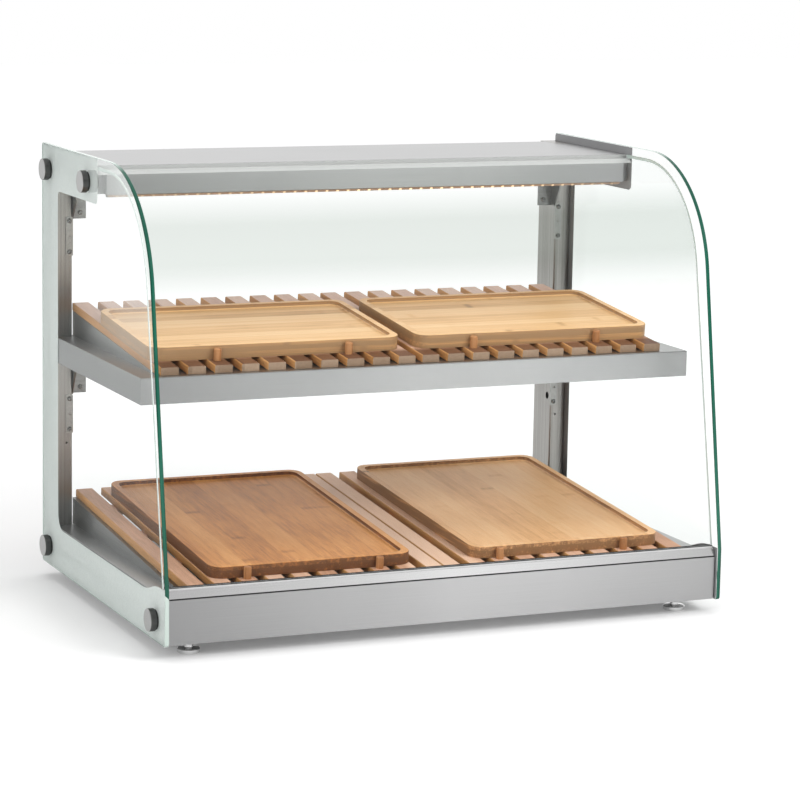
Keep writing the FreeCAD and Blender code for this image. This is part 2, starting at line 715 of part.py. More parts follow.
def bracket(label, side, top, drop, ahead, arm):
    """A bent corner bracket: a web with a tapered gusset, a flange across and one under the load."""
    body = new_body(label)
    web = new_sketch(body, "YZ_Plane")
    back = post_front + size("bracket_setback")
    low, thick = top - drop, size("bracket_gauge")
    outline = [(back, low), (back, top), (post_front - ahead, top)]
    if arm is not None:
        outline.append((post_front - ahead, top - arm))
    else:
        outline.append((post_front - ahead, top - drop / 3))
    outline += [(post_front - size("gusset_ahead"), top - drop / 2), (post_front + size("gusset_foot"), low)]
    trace(web, outline)
    pad(body, web, thick, side > 0)
    flange = new_sketch(body, "YZ_Plane")
    rectangle(flange, back - thick, back, low, top)
    pad(body, flange, size("bracket_flange"), side > 0)
    ledge = new_sketch(body, "YZ_Plane")
    rectangle(ledge, post_front - ahead, post_front + size("bracket_ledge_back"), top - thick, top)
    pad(body, ledge, size("bracket_top_flange"), side > 0)
    holes = new_sketch(body, "XZ_Plane")
    middle = -side * size("bracket_screw_inset")
    levels = [low + size("bracket_screw_low") + step * size("bracket_screw_pitch") for step in (0, 1)]
    rings(holes, [(middle, level) for level in levels], size("screw_shank") + 2 * size("screw_play"))
    cut(body, holes, back + size("bracket_gauge"))
    seat(body, across=side * post_inner)


def shelf_panel():
    """A folded tray turned upside down: flat top, deep lips all round, cut out round the posts."""
    body = new_body("shelf_panel")
    sketch = new_sketch(body, "XY_Plane")
    start, back = front + size("shelf_front"), half_depth - size("shelf_back_setback")
    notch, inner = post_front - size("shelf_post_gap"), post_inner - size("shelf_web_gap")
    trace(sketch, [
        (-half_body, start), (half_body, start), (half_body, notch),
        (inner, notch), (inner, back), (-inner, back),
        (-inner, notch), (-half_body, notch)])
    pad(body, sketch, size("shelf_lip"))
    top, edge_front = size("shelf_lip").number, start.number

    def lip_edge(edge):
        centre = edge.BoundBox.Center
        return along_x(edge) and abs(centre.y - edge_front) < 1e-6 and abs(centre.z - top) < 1e-6

    soften(body, "Fillet", size("shelf_round"), lip_edge)

    def open_face(face):
        centre = face.CenterOfMass
        beside_post = abs(abs(centre.x) - inner.number) < 1e-6 or abs(centre.y - notch.number) < 1e-6
        return abs(centre.z) < 1e-6 or beside_post

    hollow(body, gauge, open_face)
    seat(body, up=size("shelf_top") - size("shelf_lip"))


# Canopy with its light

def canopy_half():
    return half_body - size("canopy_side_gap")


def canopy_cover():
    """A folded hood: level top, a step where the front pane's end lies, a bevel and a front apron.
    Its plan is cut away round the posts and, below the ledge, at both front corners."""
    body = new_body("canopy_cover")
    sketch = new_sketch(body, "YZ_Plane")
    face, back, low, top = canopy_face, canopy_back, canopy_bottom, canopy_top
    ledge, step, bevel = canopy_ledge, ledge_back, size("canopy_bevel")
    trace(sketch, [
        (face, low), (back, low), (back, top), (step, top), (step, ledge),
        (face + bevel, ledge), (face, ledge - bevel)])
    half = canopy_half()
    extent = pad(body, sketch, 2 * half)
    extent.SideType = "Symmetric"
    inner, notch = post_inner - size("canopy_post_gap"), post_front - size("canopy_post_gap")
    corner = half - size("canopy_notch_width")
    plan = new_sketch(body, "XY_Plane")
    for side in (-1, 1):
        near, far = (inner, half + gauge) if side > 0 else (-half - gauge, -inner)
        rectangle(plan, near, far, notch, back + gauge)
    cut(body, plan, top + gauge, True)
    ends = new_sketch(body, "XY_Plane")
    for side in (-1, 1):
        near, far = (corner, half + gauge) if side > 0 else (-half - gauge, -corner)
        rectangle(ends, near, far, face - gauge, face + size("canopy_notch_depth"))
    cut(body, ends, ledge - bevel, True)
    shoulder = ledge - bevel - gauge / 2
    room = new_sketch(body, "XY_Plane", low)
    liner_outline(room, gauge)
    cut(body, room, shoulder - low, True)
    ear, roof = face + size("canopy_notch_depth") + gauge, top - gauge

    def upper_room(reach, rear):
        return reach, [
            (ear, shoulder), (rear, shoulder), (rear, roof),
            (step + gauge, roof), (step + gauge, ledge - gauge),
            (ear, ledge - gauge)]

    front_room = corner - gauge, [
        (face + gauge, shoulder), (ear, shoulder), (ear, ledge - gauge),
        (face + bevel + gauge / 2, ledge - gauge)]
    for reach, outline in (
            upper_room(inner - gauge, back - gauge), upper_room(half - gauge, notch - gauge), front_room):
        section = new_sketch(body, "YZ_Plane")
        trace(section, outline)
        across = cut(body, section, reach)
        across.SideType = "Symmetric"
        bind(across, "Length", 2 * reach)
    holes = new_sketch(body, "YZ_Plane")
    rings(holes, [cap_places[1]], stud_hole)
    wide = cut(body, holes, half)
    wide.SideType = "Symmetric"
    bind(wide, "Length", 4 * half)
    entry = new_sketch(body, "YZ_Plane")
    rings(entry, [(cable_place[1], cable_level)], size("cable_hole"))
    cut(body, entry, half, True)


def liner_outline(sketch, margin):
    face, back = canopy_face + margin, canopy_back - margin
    half = canopy_half() - margin
    corner = canopy_half() - size("canopy_notch_width") - margin
    ear = canopy_face + size("canopy_notch_depth") + margin
    inner = post_inner - size("canopy_post_gap") - margin
    notch = post_front - size("canopy_post_gap") - margin
    trace(sketch, [
        (-corner, face), (corner, face), (corner, ear), (half, ear),
        (half, notch), (inner, notch), (inner, back),
        (-inner, back), (-inner, notch), (-half, notch), (-half, ear), (-corner, ear)])


def canopy_liner():
    """The sheet that closes the hood from below and carries the light."""
    body = new_body("canopy_liner")
    sketch = new_sketch(body, "XY_Plane")
    liner_outline(sketch, gauge + size("liner_gap"))
    rings(sketch, [light_entry()], size("cable_hole"))
    pad(body, sketch, gauge)
    seat(body, up=canopy_bottom)


def light_entry():
    return (light_length / 2 - 2 * size("wire_bend"), light_front + size("led_rail_width") / 2)


def led_rail():
    """An aluminium strip under the hood, its front face turned down and forwards to hold the lights."""
    body = new_body("led_profile")
    sketch = new_sketch(body, "YZ_Plane")
    ahead, top = light_front, canopy_bottom
    low = top - size("led_rail_height")
    trace(sketch, [
        (ahead, top), (ahead + size("led_rail_slope"), low), (ahead + size("led_rail_width"), low),
        (ahead + size("led_rail_width"), top)])
    pad(body, sketch, light_length)
    seat(body, across=-light_length / 2)


def light_face(setback, width, thick):
    """A thin strip on the sloping face of the light rail: corners in the rail's cross-section."""
    slope, height = size("led_rail_slope"), size("led_rail_height")
    length = math.hypot(slope.number, height.number)
    unit = Size(length, f"sqrt({slope.text} ^ 2 + {height.text} ^ 2)")
    along, down = slope / unit, height / unit
    margin = (unit - width) / 2
    ahead, top = light_front, canopy_bottom

    def corner(run, out):
        return (ahead + along * run - down * out, top - down * run - along * out)

    return [corner(margin, setback), corner(margin, setback + thick), corner(margin + width, setback + thick),
            corner(margin + width, setback)]


def led_board():
    body = new_body("led_board")
    sketch = new_sketch(body, "YZ_Plane")
    trace(sketch, light_face(Size(0, "0"), size("led_board_width"), size("led_board_thick")))
    pad(body, sketch, light_length)
    seat(body, across=-light_length / 2)


def led_chips():
    body = new_body("led_chips")
    sketch = new_sketch(body, "YZ_Plane")
    trace(sketch, light_face(size("led_board_thick"), size("led_width"), size("led_thick")))
    pad(body, sketch, size("led_length"))
    count = whole(light_length / size("led_pitch"))
    span = (count - 1) * size("led_pitch")
    row(body, "X_Axis", count, span)
    seat(body, across=-(span + size("led_length")) / 2)


# Wedge rails, racks and boards, the same on both tiers

TIERS = {"upper": size("shelf_top"), "lower": size("deck_top")}


def rack_height(tier, along):
    """Height of the slats' underside at a distance along the case."""
    rack_front = front + size(f"{tier}_rack_front")
    return TIERS[tier] + size("rack_play") + (along - rack_front) * tangent(size(f"{tier}_tilt"))


def rail(label, tier, across, width, inwards):
    """A folded wedge rail: an upright web, a sloping flange under the slats and a foot flange."""
    body = new_body(label)
    start = front + size(f"{tier}_rack_front") + size("rail_lead")
    end = rack_back - size("rail_back_setback")
    floor, play = TIERS[tier], size("rack_play")
    high = [(end, rack_height(tier, end) - play), (start, rack_height(tier, start) - play)]
    web = new_sketch(body, "YZ_Plane")
    trace(web, [(start, floor), (end, floor)] + high)
    pad(body, web, gauge, inwards < 0)
    flange = new_sketch(body, "YZ_Plane")
    trace(flange, [(start, high[1][1] - gauge), (end, high[0][1] - gauge)] + high)
    pad(body, flange, width, inwards < 0)
    foot_flange = new_sketch(body, "YZ_Plane")
    rectangle(foot_flange, start, end, floor, floor + gauge)
    pad(body, foot_flange, size("rail_foot"), inwards < 0)
    seat(body, across=across)


def rack_start(tier, name):
    """Left end of a rack: one is measured from the side of the case, the other from its middle."""
    if name == "left":
        return size(f"{tier}_rack_side_gap") - half_body
    return size(f"{tier}_rack_offset")


def rack_middle(tier):
    return (rack_start(tier, "left") + rack_width + rack_start(tier, "right")) / 2


def rack_rails(tier):
    rail(f"{tier}_rail_left", tier, -rail_span, size("rail_flange"), 1)
    rail(f"{tier}_rail_right", tier, rail_span, size("rail_flange"), -1)
    rail(f"{tier}_rail_middle", tier, rack_middle(tier) - size("middle_flange") / 2, size("middle_flange"), 1)


def on_rack(tier, lift):
    """Place of something whose underside lies the given height above the slats' underside."""
    tilt = size(f"{tier}_tilt")
    return {"along": front + size(f"{tier}_rack_front") - sine(tilt) * lift,
            "up": TIERS[tier] + size("rack_play") + cosine(tilt) * lift, "tilt": tilt}


def slat_length(tier):
    return (rack_back - front - size(f"{tier}_rack_front")) / cosine(size(f"{tier}_tilt"))


def peg_spots(tier, first):
    return [(first + size(name) * slat_pitch + size("slat_width") / 2, size(f"{tier}_peg"))
            for name in ("peg_near_count", "peg_far_count")]


def rack_slats(tier, name, first):
    """Slats running front to back, with sockets for the two stop pegs."""
    body = new_body(f"rack_{tier}_{name}_slats")
    sketch = new_sketch(body, "XZ_Plane")
    wide, thick, edge = size("slat_width"), size("slat_thick"), size("slat_edge")
    trace(sketch, [
        (first, as_size(0)), (first + wide, as_size(0)), (first + wide, thick - edge),
        (first + wide - edge, thick),
        (first + edge, thick), (first, thick - edge)])
    pad(body, sketch, slat_length(tier), True)
    row(body, "X_Axis", size("slat_count"), (size("slat_count") - 1) * slat_pitch)
    sockets = new_sketch(body, "XY_Plane", thick)
    rings(sockets, peg_spots(tier, first), size("peg_diameter") + 2 * size("peg_play"))
    cut(body, sockets, size("peg_socket"))
    seat(body, **on_rack(tier, 0))


def batten_places(tier):
    """Distances along the slats at which cross battens have room above the floor."""
    first = (size("batten_thick") + gauge) / tangent(size(f"{tier}_tilt")) + size("batten_clear")
    last = slat_length(tier) - size("batten_back_setback")
    steps = int(size(f"{tier}_batten_count").number) - 1
    return [first + (last - first) * step / steps for step in range(steps + 1)]


def rack_battens(tier, name, first):
    """Cross battens that hold the slats together, hung between the side rail and the middle rail."""
    body = new_body(f"rack_{tier}_{name}_battens")
    gap, middle = size("batten_gap"), rack_middle(tier)
    outer = rail_span - size("rail_flange") - gap
    near, far = (-outer, middle - size("middle_flange") / 2 - gap)
    if name == "right":
        near, far = (middle + size("middle_flange") / 2 + gap, outer)
    sketch = new_sketch(body, "XY_Plane")
    for start in batten_places(tier):
        rectangle(sketch, near, far, start, start + size("batten_width"))
    pad(body, sketch, size("batten_thick"))
    seat(body, **on_rack(tier, -size("batten_thick")))


def rack_pegs(tier, name, first):
    body = new_body(f"rack_{tier}_{name}_pegs")
    sketch = new_sketch(body, "XY_Plane")
    rings(sketch, peg_spots(tier, first), size("peg_diameter"))
    pad(body, sketch, size("peg_height") + size("peg_socket"))
    top = (size("peg_height") + size("peg_socket")).number
    soften(body, "Chamfer", size("slat_edge"), lambda edge: abs(edge.BoundBox.Center.z - top) < 1e-6)
    seat(body, **on_rack(tier, size("slat_thick") - size("peg_socket")))


def board(tier, name):
    """A bamboo board with a shallow recess inside a raised rim. It leans on the pegs."""
    body = new_body(f"board_{tier}_{name}")
    left = rack_start(tier, name) + size(f"{tier}_{name}_board_shift")
    right = left + rack_width - size(f"{tier}_board_spare")
    start = size(f"{tier}_peg") + size("peg_diameter") / 2 + 2 * size("rack_play")
    end = start + size(f"{tier}_board_depth")
    thick, rim, corner = size(f"{tier}_board_thick"), size("board_rim"), size("board_corner")
    sketch = new_sketch(body, "XY_Plane")
    round_rectangle(sketch, left, right, start, end, corner)
    pad(body, sketch, thick)
    high = thick.number
    soften(body, "Fillet", size("board_edge"), lambda edge: abs(edge.BoundBox.Center.z - high) < 1e-6)
    recess = new_sketch(body, "XY_Plane", thick)
    round_rectangle(recess, left + rim, right - rim, start + rim, end - rim, corner - rim / 2)
    cut(body, recess, size("board_recess"))
    floor = (thick - size("board_recess")).number
    soften(body, "Fillet", size("board_cove"), lambda edge: abs(edge.BoundBox.Center.z - floor) < 1e-6
           and edge.BoundBox.ZLength < 1e-6)
    seat(body, **on_rack(tier, size("slat_thick") + size("rack_play")))


# Power: inlet, rocker switch, driver and the wiring between them

def power_inlet():
    """A three-pin appliance inlet in the back wall of the base."""
    body = new_body("power_inlet")
    middle, level = socket_middles["inlet"], size("inlet_height")
    face = new_sketch(body, "XZ_Plane")
    wide, high = size("inlet_face_width") / 2, size("inlet_face_height") / 2
    round_rectangle(face, middle - wide, middle + wide, level - high, level + high, size("inlet_face_thick"))
    pad(body, face, size("inlet_face_thick"), True)
    box = new_sketch(body, "XZ_Plane")
    half, rise = size("inlet_body_width") / 2, size("inlet_body_height") / 2
    rectangle(box, middle - half, middle + half, level - rise, level + rise)
    pad(body, box, size("inlet_body_depth"))
    mouth = new_sketch(body, "XZ_Plane", -size("inlet_face_thick"))
    wall = size("inlet_mouth")
    rectangle(mouth, middle - half + wall, middle + half - wall, level - rise + wall, level + rise - wall)
    cut(body, mouth, size("inlet_mouth_depth"), True)
    pins = new_sketch(body, "XZ_Plane", size("inlet_mouth_depth") - size("inlet_face_thick"))
    for step, lift in ((-1, -1), (0, 1), (1, -1)):
        across = middle + step * size("inlet_pin_spread")
        up = level + lift * size("inlet_pin_rise")
        half_pin, half_rise = size("inlet_pin_width") / 2, size("inlet_pin_height") / 2
        rectangle(pins, across - half_pin, across + half_pin, up - half_rise, up + half_rise)
    pad(body, pins, size("inlet_pin_length"), True)
    seat(body, along=wall_back)


def switch_bezel():
    """The switch's frame, with a round-backed cavity in which the rocker swings."""
    body = new_body("switch_bezel")
    middle, level = socket_middles["switch"], size("inlet_height")
    face = new_sketch(body, "XZ_Plane")
    wide, high = size("switch_face_width") / 2, size("switch_face_height") / 2
    corner = size("switch_face_thick") / 2
    round_rectangle(face, middle - wide, middle + wide, level - high, level + high, corner)
    pad(body, face, size("switch_face_thick"), True)
    box = new_sketch(body, "XZ_Plane")
    half, rise = size("switch_body_width") / 2, size("switch_body_height") / 2
    rectangle(box, middle - half, middle + half, level - rise, level + rise)
    pad(body, box, size("switch_body_depth"))
    slot = size("rocker_width") / 2 + size("rocker_play")
    cavity = new_sketch(body, "YZ_Plane", middle - slot)
    reach, lip = size("rocker_radius") + size("rocker_play"), 2 * size("switch_face_thick")
    trace(cavity, [
        (lip, level - reach), (lip, level + reach), (as_size(0), level + reach, reach),
        (-reach, level, reach), (as_size(0), level - reach)])
    cut(body, cavity, 2 * slot, True)
    seat(body, along=wall_back)


def switch_rocker():
    """The rocker: round behind its axis, two flat paddles in front, the lower one standing proud."""
    body = new_body("switch_rocker")
    sketch = new_sketch(body, "YZ_Plane")
    radius, proud, dip = size("rocker_radius"), size("rocker_proud"), size("rocker_dip")
    trace(sketch, [
        (as_size(0), radius, radius), (-radius, as_size(0), radius), (as_size(0), -radius),
        (proud, dip - radius),
        (dip / 2, as_size(0)), (dip / 4, radius - dip)])
    pad(body, sketch, size("rocker_width"))
    across = socket_middles["switch"] - size("rocker_width") / 2
    seat(body, across=across, along=wall_back, up=size("inlet_height"))


def led_driver():
    """The light's power supply: a closed box with two screw ears on the floor of the base."""
    body = new_body("led_driver")
    left, back = driver_left, half_depth - size("driver_back_setback")
    right, near = left + size("driver_length"), back - size("driver_width")
    ear = size("driver_ear")
    plate = new_sketch(body, "XY_Plane")
    round_rectangle(plate, left - ear, right + ear, near, back, size("driver_ear_thick"))
    middle = (near + back) / 2
    rings(plate, [(left - ear / 2, middle), (right + ear / 2, middle)], size("driver_ear_hole"))
    pad(body, plate, size("driver_ear_thick"))
    box = new_sketch(body, "XY_Plane")
    rectangle(box, left, right, near, back)
    pad(body, box, size("driver_height"))
    seat(body, up=size("body_lift") + gauge)


def wire_path(points, bend):
    """Straight runs joined by tangent arcs of one bend radius."""
    edges, start = [], points[0]
    for before, corner, after in zip(points, points[1:], points[2:]):
        back, ahead = (before - corner).normalize(), (after - corner).normalize()
        half = back.getAngle(ahead) / 2
        reach = bend / math.tan(half)
        enter, leave = corner + back * reach, corner + ahead * reach
        middle = corner + (back + ahead).normalize() * (bend / math.sin(half) - bend)
        edges.append(Part.LineSegment(start, enter).toShape())
        edges.append(Part.Arc(enter, middle, leave).toShape())
        start = leave
    edges.append(Part.LineSegment(start, points[-1]).toShape())
    return Part.Wire(edges)


def wire_solid(points, bend, radius):
    path = wire_path(points, bend)
    section = Part.Wire(Part.Circle(points[0], points[1] - points[0], radius).toShape())
    return path.makePipeShell([section], True, False)


def wiring():
    """Leads inside the base, and the light's cable up through the right post into the canopy."""
    radius, bend = size("wire_diameter").number / 2, size("wire_bend").number
    level = (size("body_lift") + gauge + size("driver_height") / 2).number
    middle = (half_depth - size("driver_back_setback") - size("driver_width") / 2).number
    left = driver_left.number
    right = left + size("driver_length").number
    plug = (wall_back - size("inlet_body_depth")).number
    socket = (wall_back - size("switch_body_depth")).number
    inlet, switch = socket_middles["inlet"].number, socket_middles["switch"].number
    rise = size("inlet_height").number
    post_x, post_y = cable_place[0].number, cable_place[1].number
    high = cable_level.number
    light_x, light_y = (value.number for value in light_entry())
    slack, detour = size("wire_slack").number, size("wire_detour").number
    feed = [Vector(inlet, plug, rise), Vector(inlet, plug - slack, rise), Vector(switch, plug - slack, rise),
            Vector(switch, socket, rise)]
    aside = inlet + size("live_aside").number
    live = [Vector(aside, plug, level), Vector(aside, middle, level), Vector(right, middle, level)]
    light = [
        Vector(left, middle, level), Vector(left - slack, middle, level),
        Vector(left - slack, middle - detour, level), Vector(post_x, middle - detour, level),
        Vector(post_x, post_y, level), Vector(post_x, post_y, high), Vector(light_x, post_y, high),
        Vector(light_x, light_y, high), Vector(light_x, light_y, canopy_bottom.number)]
    shapes = [wire_solid(points, bend, radius) for points in (feed, live, light)]
    harness = doc.addObject("Part::Feature", "wiring")
    harness.Label = "wiring"
    harness.Shape = Part.Compound(shapes)
    harness.Placement = Placement()


# The whole case

for side_name, side_sign in SIDES:
    side_glass(side_name, side_sign)
    side_border(side_name, side_sign)
    standoff_caps(side_name, side_sign)
    post(side_name, side_sign)
standoff_gaskets()
base_pan()
base_deck()
base_front_panel()
glass_sill()
sill_seals()
front_glass()
FOOT_NAMES = ("foot_front_left", "foot_front_right", "foot_rear_left", "foot_rear_right")
for foot_name, (foot_across, foot_along) in zip(FOOT_NAMES, foot_places):
    foot(foot_name, foot_across, foot_along)
foot_inserts()
clamp_plates()
pan_screws()
canopy_level, shelf_level = bracket_levels()
for side_name, side_sign in SIDES:
    bracket(f"canopy_bracket_{side_name}", side_sign, *canopy_level, size("gusset_ahead"), None)
    arm = (size("shelf_arm"), size("shelf_arm_height"))
    bracket(f"shelf_bracket_{side_name}", side_sign, *shelf_level, *arm)
shelf_panel()
canopy_cover()
canopy_liner()
led_rail()
led_board()
led_chips()
for tier_name in TIERS:
    rack_rails(tier_name)
    for side_name, _ in SIDES:
        first_slat = rack_start(tier_name, side_name)
        rack_slats(tier_name, side_name, first_slat)
        rack_battens(tier_name, side_name, first_slat)
        rack_pegs(tier_name, side_name, first_slat)
        board(tier_name, side_name)
power_inlet()
switch_bezel()
switch_rocker()
led_driver()
wiring()
doc.recompute()


# Every object has to be sound before anything is written

grouped = {member.Name for part in doc.Objects if part.TypeId == "Part::Compound" for member in part.Links}
kinds = ("PartDesign::Body", "Part::Compound", "Part::Feature")
nodes = [part for part in doc.Objects if part.TypeId in kinds and part.Name not in grouped]
faults = [part.Label for part in doc.Objects if "Invalid" in part.State or "Error" in part.State]
faults += [part.Label for part in nodes if part.Shape.isNull() or not part.Shape.isValid()]
if faults:
    raise RuntimeError(f"unsound objects: {sorted(set(faults))}")

os.makedirs("parts", exist_ok=True)
for part in nodes:
    part.Shape.exportStep(f"parts/{part.Label}.step")
print(len(nodes), "nodes")
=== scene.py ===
# %% [markdown]
# # A counter-top display case
# A case for baked goods: clear side panes, one bent front pane, brushed steel sheet and wooden racks.
# The construction model is the fixed frame, and every node keeps its place. The steps below
# add a camera, a floor and some light, and give each node the finish of the real thing. The panes and the
# post screws are made again with finer edges.

# %% Load the construction model
import json
import math

import bmesh
import bpy
from mathutils import Matrix, Vector


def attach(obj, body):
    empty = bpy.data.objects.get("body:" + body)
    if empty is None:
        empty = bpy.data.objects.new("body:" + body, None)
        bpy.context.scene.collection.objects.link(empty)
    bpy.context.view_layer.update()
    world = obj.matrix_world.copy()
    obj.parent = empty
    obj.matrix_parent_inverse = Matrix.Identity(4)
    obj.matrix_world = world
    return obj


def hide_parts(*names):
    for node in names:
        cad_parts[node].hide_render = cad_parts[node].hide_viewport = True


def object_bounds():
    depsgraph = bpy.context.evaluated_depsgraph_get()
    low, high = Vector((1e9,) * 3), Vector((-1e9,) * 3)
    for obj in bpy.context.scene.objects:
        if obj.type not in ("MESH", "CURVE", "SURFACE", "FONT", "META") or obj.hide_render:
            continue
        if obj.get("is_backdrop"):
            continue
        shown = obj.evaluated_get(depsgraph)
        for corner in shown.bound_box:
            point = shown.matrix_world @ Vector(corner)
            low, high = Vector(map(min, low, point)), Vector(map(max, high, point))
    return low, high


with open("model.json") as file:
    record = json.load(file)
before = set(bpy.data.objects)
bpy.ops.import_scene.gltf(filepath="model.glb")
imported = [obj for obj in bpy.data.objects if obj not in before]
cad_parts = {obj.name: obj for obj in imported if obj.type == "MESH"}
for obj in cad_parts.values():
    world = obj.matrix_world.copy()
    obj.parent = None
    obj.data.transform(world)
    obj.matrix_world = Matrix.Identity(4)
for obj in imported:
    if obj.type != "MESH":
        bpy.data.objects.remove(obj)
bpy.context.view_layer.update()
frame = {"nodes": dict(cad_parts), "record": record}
nodes = frame["nodes"]
scene = bpy.context.scene
scene.view_settings.view_transform = "Standard"

# %% [markdown]
# ## Camera
# A product picture is taken from far away with a long lens, so that upright edges stay nearly parallel.
# The angles below are a turn about the vertical, a tilt down and a very small roll. Three axes built
# from them make the camera's matrix, which is steadier than stacking rotations.

# %% Camera
TURN, TILT, ROLL = 0.409557, -0.170720, 0.018017
STANDPOINT = Vector((-1.73575, -4.08171, 1.05820))
FOCAL_LENGTH, SENSOR_WIDTH = 136.86, 36
ahead = Vector((math.sin(TURN) * math.cos(TILT), math.cos(TURN) * math.cos(TILT), math.sin(TILT)))
level = Vector((math.cos(TURN), -math.sin(TURN), 0))
upward = level.cross(ahead)
camera_x = math.cos(ROLL) * level + math.sin(ROLL) * upward
camera_y = math.cos(ROLL) * upward - math.sin(ROLL) * level
lens = bpy.data.cameras.new("camera")
lens.lens, lens.sensor_width = FOCAL_LENGTH, SENSOR_WIDTH
camera = bpy.data.objects.new("camera", lens)
turned = Matrix((camera_x, camera_y, -ahead)).transposed().to_4x4()
camera.matrix_world = Matrix.Translation(STANDPOINT) @ turned
scene.collection.objects.link(camera)
scene.camera = camera
print("camera at", [round(value, 3) for value in STANDPOINT])

# %% [markdown]
# ## Node helpers
# A finish is a small graph of shader nodes. One helper adds a node and fills its sockets with either a
# number or a link, and a few more wrap the sums, ramps and patterns that several finishes share.

# %% Node helpers
X, Y, Z = range(3)


def add(tree, kind, sockets=None, **settings):
    """A new node with its settings made, and a number or a link in each socket."""
    node = tree.nodes.new(kind)
    for name, value in settings.items():
        setattr(node, name, value)
    for key, value in (sockets or {}).items():
        if isinstance(value, bpy.types.NodeSocket):
            tree.links.new(value, node.inputs[key])
        else:
            node.inputs[key].default_value = value
    return node


def calculate(tree, operation, first, second=0.0, third=0.0):
    """One sum, product or test on numbers or links."""
    node = add(tree, "ShaderNodeMath", {0: first, 1: second, 2: third}, operation=operation)
    return node.outputs[0]


def weigh(tree, *pairs):
    """The sum of several values, each times its weight."""
    total = 0.0
    for value, weight in pairs:
        total = calculate(tree, "MULTIPLY_ADD", value, weight, total)
    return total


def rescale(tree, value, from_low, from_high, to_low=0.0, to_high=1.0):
    """A value carried from one range to another and held inside it."""
    return add(tree, "ShaderNodeMapRange", {"Value": value, "From Min": from_low, "From Max": from_high,
                                            "To Min": to_low, "To Max": to_high}).outputs[0]


def blend(tree, share, first, second, kind="MIX"):
    """Two colours, mixed by a share."""
    return add(tree, "ShaderNodeMix", {0: share, 6: first, 7: second},
               data_type="RGBA", blend_type=kind).outputs[2]


def ramp(tree, factor, stops):
    """A colour looked up on a band of stops."""
    node = add(tree, "ShaderNodeValToRGB", {"Fac": factor})
    first, last = stops[0], stops[-1]
    band = node.color_ramp
    band.elements[0].position, band.elements[0].color = first[0], (*first[1], 1)
    band.elements[1].position, band.elements[1].color = last[0], (*last[1], 1)
    for position, colour in stops[1:-1]:
        band.elements.new(position).color = (*colour, 1)
    return node.outputs["Color"]


def levels(tree, factor, stops):
    """The same with grey stops, each given by one number."""
    return ramp(tree, factor, [(position, (value, value, value)) for position, value in stops])


def axes_of(tree, kind="Object"):
    """The three coordinates of a point, or of the way in which its face looks."""
    return add(tree, "ShaderNodeSeparateXYZ", {0: add(tree, "ShaderNodeTexCoord").outputs[kind]}).outputs


def noise(tree, stretch, detail, rough):
    """Noise in the piece's own coordinates, squeezed by a factor for each axis."""
    place = add(tree, "ShaderNodeTexCoord").outputs["Object"]
    scaled = add(tree, "ShaderNodeMapping", {"Vector": place, "Scale": stretch}).outputs[0]
    return add(tree, "ShaderNodeTexNoise", {"Vector": scaled, "Scale": 1.0, "Detail": detail,
                                            "Roughness": rough}).outputs["Fac"]


# %% [markdown]
# ## Studio
# The case stands on a white sweep. The world is white to the camera and through glass, and about half as
# strong to everything that is lit by it. In a low band above the horizon, mirrors see a room that is grey
# in front and bright behind, which gives the steel its soft steps of tone. The floor is a matt plane with
# a glow that only the camera, mirrors and glass see. The glow grows with the distance from the case, so the
# ground turns white and still takes the shadow. Mirrors and glass don't show the lamps, which would be hard
# patches.

# %% World
WHITE = (1, 1, 1, 1)
FILL = 0.55
ROOM_FRONT, ROOM_BACK = -0.5, 0.6
ROOM_TONES = [(0.0, 0.2), (0.5, 1.0), (1.0, 1.35)]
ROOM_BAND = [(0.02, 0.0), (0.09, 1.0), (0.32, 1.0), (0.52, 0.0)]


def seen_directly(tree):
    """Whether the camera, a mirror or a pane of glass is looking."""
    ray = add(tree, "ShaderNodeLightPath").outputs
    seen = calculate(tree, "MAXIMUM", ray["Is Camera Ray"], ray["Is Transmission Ray"])
    return calculate(tree, "MAXIMUM", seen, ray["Is Glossy Ray"])


world = bpy.data.worlds.new("studio")
scene.world = world
world.use_nodes = True
sky = world.node_tree
sky.nodes.clear()
way = axes_of(sky, "Generated")
room = levels(sky, rescale(sky, way[Y], ROOM_FRONT, ROOM_BACK), ROOM_TONES)
room = blend(sky, levels(sky, way[Z], ROOM_BAND), WHITE, room)
mirrored = add(sky, "ShaderNodeLightPath").outputs["Is Glossy Ray"]
bright = add(sky, "ShaderNodeBackground", {"Color": blend(sky, mirrored, WHITE, room), "Strength": 1.0})
fill = add(sky, "ShaderNodeBackground", {"Color": WHITE, "Strength": FILL})
both = add(sky, "ShaderNodeMixShader", {0: seen_directly(sky), 1: fill.outputs[0], 2: bright.outputs[0]})
add(sky, "ShaderNodeOutputWorld", {"Surface": both.outputs[0]})
print("world nodes", len(sky.nodes))

# %% Floor
FLOOR_HALF, FLOOR_TONE = 12.0, (0.86, 0.86, 0.86, 1)
NEAR, NEAR_GLOW = 0.5, 0.12
FAR, FAR_GLOW = 2.6, 0.54
sweep = bmesh.new()
bmesh.ops.create_grid(sweep, x_segments=1, y_segments=1, size=FLOOR_HALF)
floor_mesh = bpy.data.meshes.new("floor")
sweep.to_mesh(floor_mesh)
sweep.free()
floor = bpy.data.objects.new("floor", floor_mesh)
scene.collection.objects.link(floor)
ground = bpy.data.materials.new("floor_white")
ground.use_nodes = True
tree = ground.node_tree
tree.nodes.clear()
matt = add(tree, "ShaderNodeBsdfDiffuse", {"Color": FLOOR_TONE})
place = add(tree, "ShaderNodeTexCoord").outputs["Object"]
away = add(tree, "ShaderNodeVectorMath", {0: place}, operation="LENGTH").outputs["Value"]
lift = rescale(tree, away, NEAR, FAR, NEAR_GLOW, FAR_GLOW)
strength = calculate(tree, "MULTIPLY", seen_directly(tree), lift)
glow = add(tree, "ShaderNodeEmission", {"Color": WHITE, "Strength": strength})
total = add(tree, "ShaderNodeAddShader", {0: matt.outputs[0], 1: glow.outputs[0]})
